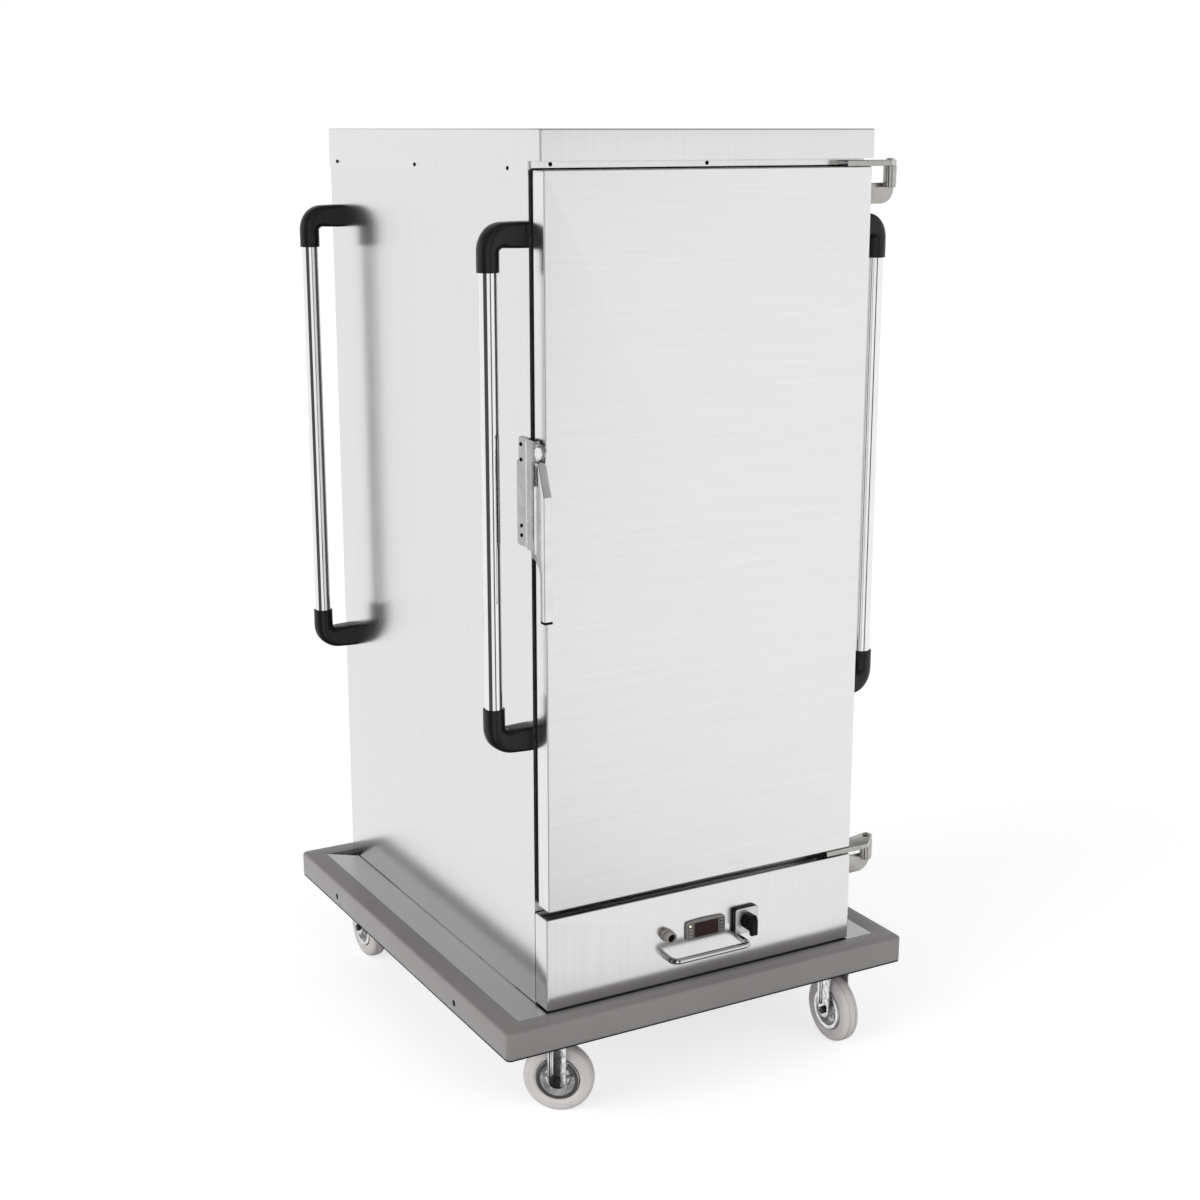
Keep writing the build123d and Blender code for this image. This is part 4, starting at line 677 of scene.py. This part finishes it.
def bezelOutline(v, shrink=0.0):  # sides bowed by t squared, corners trimmed by a super-ellipse
    t = np.linspace(-1, 1, 25)
    a, b = v["half"] - shrink, v["tall"] - shrink
    low = np.stack([t * (a - v["bow"]), -(b - v["bulge"] * t * t)], 1)
    side = np.stack([a - v["bow"] * (t * t) * 0.9, t * (b - v["bulge"])], 1)[1:-1]
    ring = np.vstack([low, side, -low, -side])
    corner = np.array([a, b])
    power = 7.0  # a soft super-ellipse trims the corners
    size = (np.abs(ring / corner) ** power).sum(1) ** (1 / power)
    return ring / np.maximum(size, 1.0)[:, None]


def facePart(outline, low, high, edge, finish):  # a plate on the controller, its heights from the face
    shape = plate(outline, controller["proud"] + low, controller["proud"] + high, edge)
    return frontShape(shape, 0, controller["z"]), finish


bezelRim = plate(bezelOutline(controller), -0.2, controller["proud"], 1.3, 4)
case = plate(boxOutline(71.0, 29.0, 1.5, 4), -55.0, -0.3, 0.8)
led = turned([(0, 0.9), (0.9, 0.75), (1.5, 0.3), (1.6, 0.0), (0, 0.0)], 24)
keyLevels = [(row - 1.5) * controller["keyPitch"] for row in range(4)]
bezelParts = [(frontShape(bezelRim, 0, controller["z"]), "bezelRim"),
              facePart(bezelOutline(controller, 3.2), -0.3, 0.25, 0.2, "bezelGrey"),
              facePart(boxOutline(0.7, 27.0, 0.3, 3, -24.6, 0.0), 0, 0.3, 0.05, "holeBlack")]
for row in range(3):
    pad = boxOutline(6.5, 2.2, 0.8, 4, -31.5, -10.6 + 6.3 * row)
    bezelParts += [facePart(pad, 0, 0.45, 0.2, "glandGrey")]
for z in keyLevels:  # dark surrounds of the keys: painted shade in the gaps round them
    bezelParts += [facePart(boxOutline(9.9, 5.9, 1.6, 4, controller["keyX"], z), 0, 0.32, 0.05, "holeBlack")]
bezelParts += [(frontShape(led, -32.6, controller["z"] + 9.0, controller["proud"] + 0.2), "ledGlow"),
               (frontShape(case, 0, controller["z"]), "switchBlack")]
addPiece("controllerBezel", bezelParts, "heating_unit", ["controller_body"])
window = boxOutline(controller["windowW"], controller["windowH"], 0.8, 4, controller["windowX"], 0)
addPiece("controllerWindow", [facePart(window, -0.6, 0.42, 0.25, "windowDark")], "heating_unit",
         ["controller_window"])
for i, z in enumerate(keyLevels, 1):
    key = facePart(boxOutline(8.5, 4.6, 1.1, 4, controller["keyX"], z), -1.6, 0.55, 0.35, "buttonGrey")
    addPiece(f"controllerKey{i}", [key], f"controller_button_{i}", [f"controller_button_{i}"])

switch = dict(x=83.0, z=299.0, size=48.0, corner=5.0, base=8.0, face=1.5)
basePlate = plate(boxOutline(switch["size"], switch["size"], switch["corner"], 8), 0.0, switch["base"], 1.0)
bodyBehind = plate(boxOutline(40, 40, 2.0, 5), -46.5, -1.5, 1.0)
baseShapes = (basePlate, bodyBehind, cylinder(3.0, 7.0, 19.3), cylinder(11.0, -1.6, 0.2, 40))
baseParts = [(frontShape(s, switch["x"], switch["z"]), "switchBlack") for s in baseShapes]
addPiece("switchBase", baseParts, "heating_unit", ["switch_base"])
facePlate = plate(boxOutline(switch["size"] - 0.6, switch["size"] - 0.6, switch["corner"] - 0.3, 8),
                  switch["base"], switch["base"] + switch["face"], 0.5)
addPiece("switchFace", [(frontShape(facePlate, switch["x"], switch["z"]), "switchSilver")], "heating_unit",
         ["switch_face"])

knob = dict(out=9.8, reach=35.5, grip=13.0, up=15.0, down=21.0)


def knobGrip(v):  # side view in (-y, z), carried across x
    outline = rounded([(v["out"], -13.5), (26.0, -13.5), (27.0, -v["down"]), (v["reach"], -v["down"]),
                       (v["reach"], 8.0), (30.0, v["up"]), (v["out"], v["up"] - 1)],
                      [1, 2.5, 2, 3.0, 2.5, 2.5, 1], 6)
    shape = plate(outline, -v["grip"] / 2, v["grip"] / 2, 1.2, 4)
    return placed(shape, (switch["x"], front, switch["z"]), -yDir, zDir)


knobDisc = turned([(3.05, 9.8), (13.0, 9.8), (14.0, 10.6), (13.6, 13.5), (11.5, 16.5), (8.0, 18.0),
                   (3.05, 18.0)], 56, True)
addPiece("switchKnob", [(frontShape(knobDisc, switch["x"], switch["z"]), "switchBlack"),
                        (knobGrip(knob), "switchBlack")],
         "switch_knob", ["switch_knob"])
print("controls made")

# casters: plates, forks, axles, rims and tyres; a wheel is drawn in (ahead, up) with w along the axle
caster = dict(x=306.0, frontY=front + 77.0, rearY=back - 57.0, trail=50.0, turn=52.0, wheel=62.5, width=33.0,
              rim=37.5, gap=39.0, leg=3.5, crownLow=139.7, plateLow=155.0, plateTop=160.0, plateX=85.0,
              plateY=105.0, boltX=30, boltY=40, neck=20.0, shoulder=17.0, shoulderZ=132.0, foot=15.0,
              footZ=47.5, ribLow=72.0, ribHigh=130.0)


def wheelAxes(turn):  # ahead, up and axle directions of a wheel turned about z
    a = math.radians(turn)
    return np.array([-math.sin(a), math.cos(a), 0.0]), zDir, np.array([math.cos(a), math.sin(a), 0.0])


def onWheel(shape, x, y, turn):  # drawn in (ahead, up), w along the axle
    ahead, up, _ = wheelAxes(turn)
    return placed(shape, (x, y, 0), ahead, up)


def forkLeg(v, trail, top, low, high):  # wide at the crown, a shoulder, then down to a round foot
    lean = -trail
    outline = rounded([(v["neck"], top), (-v["neck"], top), (lean - v["shoulder"], v["shoulderZ"]),
                       (lean - v["foot"], v["footZ"]), (lean + v["foot"], v["footZ"]),
                       (lean + v["shoulder"], v["shoulderZ"])], [2, 2, 6, 14.5, 14.5, 6], 10)
    return plate(outline, low, high, 0.9)


def forkRib(sign, lean, turn, x, y):  # half-round rib up the kingpin side of a leg
    t = np.linspace(0, np.pi, 15)
    out = caster["gap"] / 2 + caster["leg"] - 0.6 + 5.0 * np.sin(t)
    outline = np.stack([out, lean + 11.0 - 5.5 * np.cos(t)], 1) * np.array([sign, 1])
    ahead, _, across = wheelAxes(turn)
    rib = plate(outline[::sign], caster["ribLow"], caster["ribHigh"], 0.5)
    return placed(rib, (x, y, 0), across, ahead)


def casterBase(x, y):  # top plate of a caster
    outline = boxOutline(caster["plateX"], caster["plateY"], 6.0, 6, x, y)
    return plate(outline, caster["plateLow"], caster["plateTop"], 1.0)


def tyreProfile(v):  # half a section in (radius, width), then its mirror
    r, w = v["wheel"], v["width"] / 2
    right = [(v["rim"] + 0.1, w - 4.5), (v["rim"] + 2.4, w - 2.2), (v["rim"] + 4.6, w - 0.4),
             (v["rim"] + 8.0, w), (r - 12.5, w), (r - 11.5, w - 0.7), (r - 10.5, w - 0.2), (r - 7.0, w - 1.1),
             (r - 4.0, w - 2.8), (r - 1.9, w - 5.4), (r - 0.8, w - 8.0), (r - 0.5, 7.4), (r - 1.7, 6.9),
             (r - 1.7, 5.9), (r - 0.2, 5.3), (r, 0.0)]
    right = np.array(right)
    left = right[:-1][::-1] * np.array([1, -1])
    return np.vstack([right, left])


def rimProfile(v):  # half a section in (radius, width), then its mirror
    r = v["rim"]
    right = [(r, 0.0), (r, 15.0), (r - 0.4, 16.0), (r - 1.4, 16.6), (r - 5.6, 16.2), (r - 6.8, 15.0),
             (r - 7.4, 11.0), (r - 9.0, 7.0), (r - 11.5, 4.2), (24.0, 3.0), (17.0, 3.2), (14.0, 4.6),
             (12.0, 9.0), (11.2, 18.4), (10.4, 19.2), (4.1, 19.2)]
    right = np.array(right)
    left = right[1:][::-1] * np.array([1, -1])
    return np.vstack([right, left])


def hexHead(w0, w1, lean):  # hexagon about the axle
    outline = hexOutline(6.6, 0.8) + np.array([lean, caster["wheel"]])
    return plate(outline, w0, w1, 0.7)


wheelPlaces = {"front_left": (-caster["x"], caster["frontY"], caster["turn"], caster["trail"]),
               "front_right": (caster["x"], caster["frontY"], 0.0, caster["trail"]),
               "rear_left": (-caster["x"], caster["rearY"], 0.0, 0.0),
               "rear_right": (caster["x"], caster["rearY"], 0.0, 0.0)}
wheelBody = {n: n.split("_")[0] + "_wheel_" + n.split("_")[1] for n in wheelPlaces}
legIn, legOut = caster["gap"] / 2, caster["gap"] / 2 + caster["leg"]
rearForkParts, rearAxleParts = [], []
for name, (x, y, turn, trail) in wheelPlaces.items():
    moved = np.array([-trail, caster["wheel"], 0.0])

    def wheelShape(shape):
        return onWheel((shape[0] + moved, shape[1], shape[2]), x, y, turn)

    addPiece(f"{name}_tyreRing", [(wheelShape(turned(tyreProfile(caster), 96, True)), "tyreGrey")],
             wheelBody[name], [f"{name}_tyre"])
    rimParts = [(wheelShape(turned(rimProfile(caster), 80, True)), "rimDull")]
    for w in (16.3, -16.9):  # bright rolled edge
        edge = flatRing(caster["rim"] - 6.6, caster["rim"] - 0.6, w, w + 0.6)
        rimParts += [(wheelShape(edge), "rimZinc")]
    for i in range(6):
        a = i * math.pi / 3
        spokeTurn = np.array([[math.cos(a), math.sin(a)], [-math.sin(a), math.cos(a)]])
        spoke = boxOutline(20.0, 5.0, 1.5, 4, 21.0, 0.0) @ spokeTurn
        rimParts += [(wheelShape(plate(spoke, -6.5, 6.5, 1.2)), "rimDull")]
    for w in (12.6, -13.2):  # dark line beside the tyre: painted shade in the gap between rim and tyre
        ring = flatRing(caster["rim"] + 0.1, caster["rim"] + 2.2, w, w + 0.6)
        rimParts += [(wheelShape(ring), "holeBlack")]
    rimParts += [(wheelShape(flatRing(4.05, 8.5, 19.0, 19.3, 32)), "axleDark")]
    addPiece(f"{name}_rimDisc", rimParts, wheelBody[name], [f"{name}_rim"])
    axle = [hexHead(legOut, legOut + 5.3, -trail), hexHead(-legOut - 5.3, -legOut, -trail)]
    rod = cylinder(4.0, -legOut - 0.5, legOut + 0.5)
    axleParts = [(onWheel(s, x, y, turn), "axleDark") for s in axle] + [(wheelShape(rod), "axleDark")]
    forkTop = caster["crownLow"] + 1 if trail else caster["plateLow"] + 1
    forkParts = []
    for sign in (-1, 1):
        w0, w1 = sorted((sign * legIn, sign * legOut))
        forkParts += [(onWheel(forkLeg(caster, trail, forkTop, w0, w1), x, y, turn), "casterZinc")]
        forkParts += [(forkRib(sign, -trail, turn, x, y), "rimZinc")]
    if trail:
        crown = [(6.05, 139.7), (24.0, 139.7), (28.0, 140.4), (30.0, 142.5), (30.0, 146.0), (28.5, 148.0),
                 (26.0, 148.7), (6.05, 148.7)]
        forkParts += [(upright(x, y, crown + crown[:1], 64), "casterZinc")]
        yoke = plate(boxOutline(40.0, 46.0, 3.0, 5), caster["crownLow"], 148.5, 1.5)
        ahead, _, across = wheelAxes(turn)
        forkParts += [(placed(yoke, (x, y, 0), ahead, -across), "casterZinc")]
        side = name.split("_")[1]
        addPiece(f"{name}_forkPressing", forkParts, f"front_swivel_{side}", [f"front_fork_{side}"])
        addPiece(f"{name}_axleBolt", axleParts, f"front_swivel_{side}", [f"{name}_axle"])
    else:
        rearForkParts += forkParts + [(casterBase(x, y), "casterZinc")]
        rearAxleParts += axleParts
addPiece("rearForkPressings", rearForkParts, "cabinet", ["rear_forks"])
addPiece("rearAxleBolts", rearAxleParts, "cabinet", ["rear_axles"])
plateParts, boltHeads = [], []
for x in (-caster["x"], caster["x"]):
    race = [(0, 136.4), (11.0, 136.4), (11.0, 139.4), (6.0, 139.4), (6.0, 149.0), (22.0, 149.0),
            (25.5, 149.4), (27.0, 151.0), (27.0, 154.0), (29.0, 155.4), (0, 155.4)]
    plateParts += [(s, "casterZinc") for s in (casterBase(x, caster["frontY"]),
                                               upright(x, caster["frontY"], race, 64))]
    for y in (caster["frontY"], caster["rearY"]):
        for dx in (-caster["boltX"], caster["boltX"]):
            for dy in (-caster["boltY"], caster["boltY"]):
                low = turned([(0, 153.2), (3.4, 153.2), (4.0, 153.8), (4.0, 155.4), (0, 155.4)], 24)
                top = plate(hexOutline(6.5, 0.6), 163.0, 168.3, 0.6)
                boltHeads += [(placed(s, (x + dx, y + dy, 0), xDir, yDir), "screwZinc") for s in (low, top)]
addPiece("casterPlates", plateParts, "cabinet", ["caster_plates"])
addPiece("casterBolts", boltHeads, "cabinet", ["caster_bolts"])
print("casters made")

# screws that show: low domes with a dark cross that stands for the shade in the slots
screws = dict(capY=(110.0, 466.5, 823.0), capZ=1602.0, headerX=(-284.0, 0.0), headerY=25.0,
              headerZ=1608.75, latchX=-316.0, latchY=72.0, latchZ=(1172.0, 1147.0, 1039.0, 1023.0),
              bumperY=(169.0, 715.0), bumperZ=180.0, sunk=1.2)
dome = [(0, 1.9), (1.4, 1.75), (2.6, 1.2), (3.3, 0.4), (3.5, 0.0), (0, 0.0)]


def screwHead(origin, uDir, vDir, finish="screwZinc"):  # a turned dome with two crossed slots drawn as black bars, painted shade
    parts = [(placed(turned(dome, 28), origin, uDir, vDir), finish)]
    for w, h in ((4.2, 0.9), (0.9, 4.2)):
        parts += [(placed(plate(boxOutline(w, h, 0.2, 3), 1.2, 1.95, 0.1), origin, uDir, vDir), "holeBlack")]
    return parts


screwParts = []
for side, u in ((-1, -yDir), (1, yDir)):
    for y in screws["capY"]:
        screwParts += screwHead((side * cap["half"], front + y, screws["capZ"]), u, zDir, "holeBlack")
    for y in screws["bumperY"]:
        # flat black disc round the sunk screw: painted shade of its recess
        wellShade = turned([(0, 0.35), (5.0, 0.35), (5.6, 0.2), (5.8, -0.4), (0, -0.4)], 28)
        screwParts += [(placed(wellShade, (side * bumper["halfX"], front + y, screws["bumperZ"]), u, zDir),
                        "holeBlack")]
        origin = (side * (bumper["halfX"] - screws["sunk"]), front + y, screws["bumperZ"])
        screwParts += screwHead(origin, u, zDir)
for x in screws["headerX"]:
    screwParts += screwHead((x, front + screws["headerY"], screws["headerZ"]), xDir, zDir, "holeBlack")
for z in screws["latchZ"]:
    screwParts += screwHead((screws["latchX"], front + screws["latchY"], z), -yDir, zDir, "holeBlack")
addPiece("bodyScrews", screwParts, "cabinet", ["body_screws"])

# heating unit: sheathed element on its flange, finned fan motor, rotor with twisted blades
heater = dict(half=130.0, inner=45.0, bend=34.0, z=276.5, y0=front + 153.0, length=250.0, rod=4.25,
              flange=3.0, flangeHalf=164.0, flangeLow=231.5, flangeHigh=310.5)


def heaterLoop(v):  # a circle carried along a folded path
    y1, yNear = v["y0"] + v["length"], v["y0"] + v["bend"]
    a, b = v["half"], v["inner"]
    path = bentPath([(-a, v["y0"], v["z"]), (-a, y1, v["z"]), (-b, y1, v["z"]), (-b, yNear, v["z"]),
                     (b, yNear, v["z"]), (b, y1, v["z"]), (a, y1, v["z"]),
                     (a, v["y0"], v["z"])], v["bend"], 12)
    return carried(ringOutline(v["rod"], 24), path, zDir)


flange = block((-heater["flangeHalf"], heater["y0"] - heater["flange"], heater["flangeLow"]),
               (heater["flangeHalf"], heater["y0"], heater["flangeHigh"]), 0.8)
addPiece("heaterElement", [(heaterLoop(heater), "heaterSheath"), (flange, "innerSteel")], "heating_unit",
         ["heater"])
fan = dict(y=front + 540.0, low=231.5, high=291.5, bladeIn=12.0, bladeOut=88.0, bladeZ=317.5, wide=17.0,
           thick=0.8, tiltIn=42, tiltOut=28)
motor = [(0, fan["low"]), (45.0, fan["low"]), (45.0, fan["low"] + 3)]
for i in range(8):
    z = fan["low"] + 6 + 5.2 * i
    motor += [(42.0, z - 1.4), (42.0, z), (45.0, z + 0.6), (45.0, z + 2.6)]
motor += [(43.0, fan["high"] - 5), (38.0, fan["high"]), (9.0, fan["high"]), (8.0, fan["high"] + 3),
          (4.0, fan["high"] + 3), (4.0, fan["high"] + 52), (0, fan["high"] + 52)]
addPiece("fanMotor", [(upright(0, fan["y"], motor, 64), "motorGrey")], "heating_unit", ["fan_motor"])


def fanBlade(turn):  # a strip from the hub outwards whose tilt eases off
    r = np.linspace(fan["bladeIn"], fan["bladeOut"], 14)
    tilt = np.radians(np.linspace(fan["tiltIn"], fan["tiltOut"], 14))
    s = np.array([-1, -0.5, 0, 0.5, 1])
    w = np.concatenate([s, s[::-1]])
    thick = np.concatenate([np.full(5, fan["thick"]), np.full(5, -fan["thick"])])
    wide = fan["wide"] * np.cos((np.linspace(0, 1, 14) - 0.45) * 0.7)
    chord, lift = wide[:, None] * w, np.broadcast_to(thick, (14, 10))
    t = chord * np.cos(tilt)[:, None] - lift * np.sin(tilt)[:, None]
    z = chord * np.sin(tilt)[:, None] + lift * np.cos(tilt)[:, None]
    grid = np.stack([np.broadcast_to(r[:, None], t.shape), t, z + fan["bladeZ"]], -1)
    a = math.radians(turn)
    return placed(gridShape(grid), (0, fan["y"], 0), (math.cos(a), math.sin(a), 0),
                  (-math.sin(a), math.cos(a), 0))


hub = [(4.05, 299.5), (14.5, 299.5), (16.0, 301.0), (16.0, 333.0), (13.0, 335.5), (4.05, 335.5),
       (4.05, 299.5)]
rotorShapes = [upright(0, fan["y"], hub, 48)] + [fanBlade(60 * i) for i in range(6)]
addPiece("fanRotor", [(s, "fanBright") for s in rotorShapes], "fan_rotor", ["fan_rotor"])
print("heating unit made")

# camera, floor, light
view = dict(place=(-1.6812, -3.0485, 1.6623), tilt=76.059, turn=-29.356, lens=57.01)
camera = bpy.data.objects.new("photoCamera", bpy.data.cameras.new("photoCamera"))
camera.location = view["place"]
camera.rotation_euler = (math.radians(view["tilt"]), 0, math.radians(view["turn"]))
camera.data.lens = view["lens"]
camera.data.sensor_width = 36.0
bpy.context.scene.collection.objects.link(camera)
bpy.context.scene.camera = camera

light = dict(sky=0.45, sideSun=(262, 22, 1.75), frontSun=(172, 28, 0.85), sunSpread=50.0, bounce=0.8,
             shade=0.5, floorGlow=0.68, cards=((244.0, 22.0, 4.0, 0.92), (178.0, 6.0, 3.0, 0.9)),
             ceiling=0.34, ceilingFrom=0.12, ceilingTo=0.5, under=0.15, underFrom=-0.5, underTo=-0.72)


def makeFloor(v):  # white to the eye less its own shade, an ordinary pale floor to the light
    mat = bpy.data.materials.new("floorWhite")
    mat.use_nodes = True
    mat.node_tree.nodes.clear()
    _, add, maths, _ = treeTools(mat.node_tree)
    path = add("ShaderNodeLightPath")
    looked = maths("MAXIMUM", path.outputs["Is Camera Ray"], path.outputs["Is Transmission Ray"])
    looked = maths("MAXIMUM", looked, path.outputs["Is Glossy Ray"])
    pale = add("ShaderNodeBsdfDiffuse", (("Color", (v["bounce"],) * 3 + (1,)),))
    shade = add("ShaderNodeBsdfDiffuse", (("Color", (v["shade"],) * 3 + (1,)),))
    glow = add("ShaderNodeEmission", (("Strength", v["floorGlow"]),))
    white = add("ShaderNodeAddShader", ((0, shade.outputs[0]), (1, glow.outputs[0])))
    both = add("ShaderNodeMixShader", ((0, looked), (1, pale.outputs[0]), (2, white.outputs[0])))
    add("ShaderNodeOutputMaterial", (("Surface", both.outputs[0]),))
    mesh = bpy.data.meshes.new("studioFloor")
    mesh.from_pydata([(-60, -60, 0), (60, -60, 0), (60, 60, 0), (-60, 60, 0)], [], [(0, 1, 2, 3)])
    mesh.materials.append(mat)
    floor = bpy.data.objects.new("studioFloor", mesh)
    bpy.context.scene.collection.objects.link(floor)
    floor.visible_glossy = False  # bright metal sees the surround instead


def makeSky(v):  # white to the eye; metal sees a ceiling, dark cards and a dark floor
    world = bpy.data.worlds.new("studioSky")
    bpy.context.scene.world = world
    world.use_nodes = True
    fill, add, maths, ranged = treeTools(world.node_tree)
    way = add("ShaderNodeTexCoord").outputs["Generated"]
    level = add("ShaderNodeVectorMath", ((0, way), (1, (1, 1, 0))), operation="MULTIPLY").outputs[0]
    level = add("ShaderNodeVectorMath", ((0, level),), operation="NORMALIZE").outputs[0]
    height = add("ShaderNodeSeparateXYZ", ((0, way),)).outputs[2]
    shown = ranged(height, (v["ceilingFrom"], v["ceilingTo"], 1.0, v["ceiling"]), "SMOOTHSTEP")
    under = ranged(height, (v["underTo"], v["underFrom"], v["under"], 1.0), "SMOOTHSTEP")
    shown = maths("MULTIPLY", shown, under)
    for compass, halfWidth, soft, dark in v["cards"]:  # degrees clockwise from the back, seen from above
        a, w, s = np.radians([compass, halfWidth, soft])
        near = add("ShaderNodeVectorMath", ((0, level), (1, (math.sin(a), math.cos(a), 0))),
                   operation="DOT_PRODUCT").outputs["Value"]
        card = ranged(near, (math.cos(w + s), math.cos(w), 1.0, 1 - dark), "SMOOTHSTEP")
        shown = maths("MULTIPLY", shown, card)
    path = add("ShaderNodeLightPath")
    looked = maths("MAXIMUM", path.outputs["Is Camera Ray"], path.outputs["Is Transmission Ray"])
    power = add("ShaderNodeMix", ((0, path.outputs["Is Glossy Ray"]), (2, v["sky"]), (3, shown))).outputs[0]
    power = add("ShaderNodeMix", ((0, looked), (2, power), (3, 1.0))).outputs[0]
    fill(world.node_tree.nodes["Background"], (("Color", (1, 1, 1, 1)), ("Strength", power)))


def addSun(name, compass, rise, power):  # compass and rise say where it stands
    lamp = bpy.data.lights.new(name, "SUN")
    lamp.energy = power
    lamp.angle = math.radians(light["sunSpread"])
    sun = bpy.data.objects.new(name, lamp)
    sun.rotation_euler = (math.radians(90 - rise), 0, math.radians(180 - compass))
    sun.visible_glossy = False
    bpy.context.scene.collection.objects.link(sun)


makeFloor(light)
makeSky(light)
for name in ("sideSun", "frontSun"):
    addSun(name, *light[name])
bpy.context.scene.view_settings.view_transform = "Standard"
print("camera and light set")
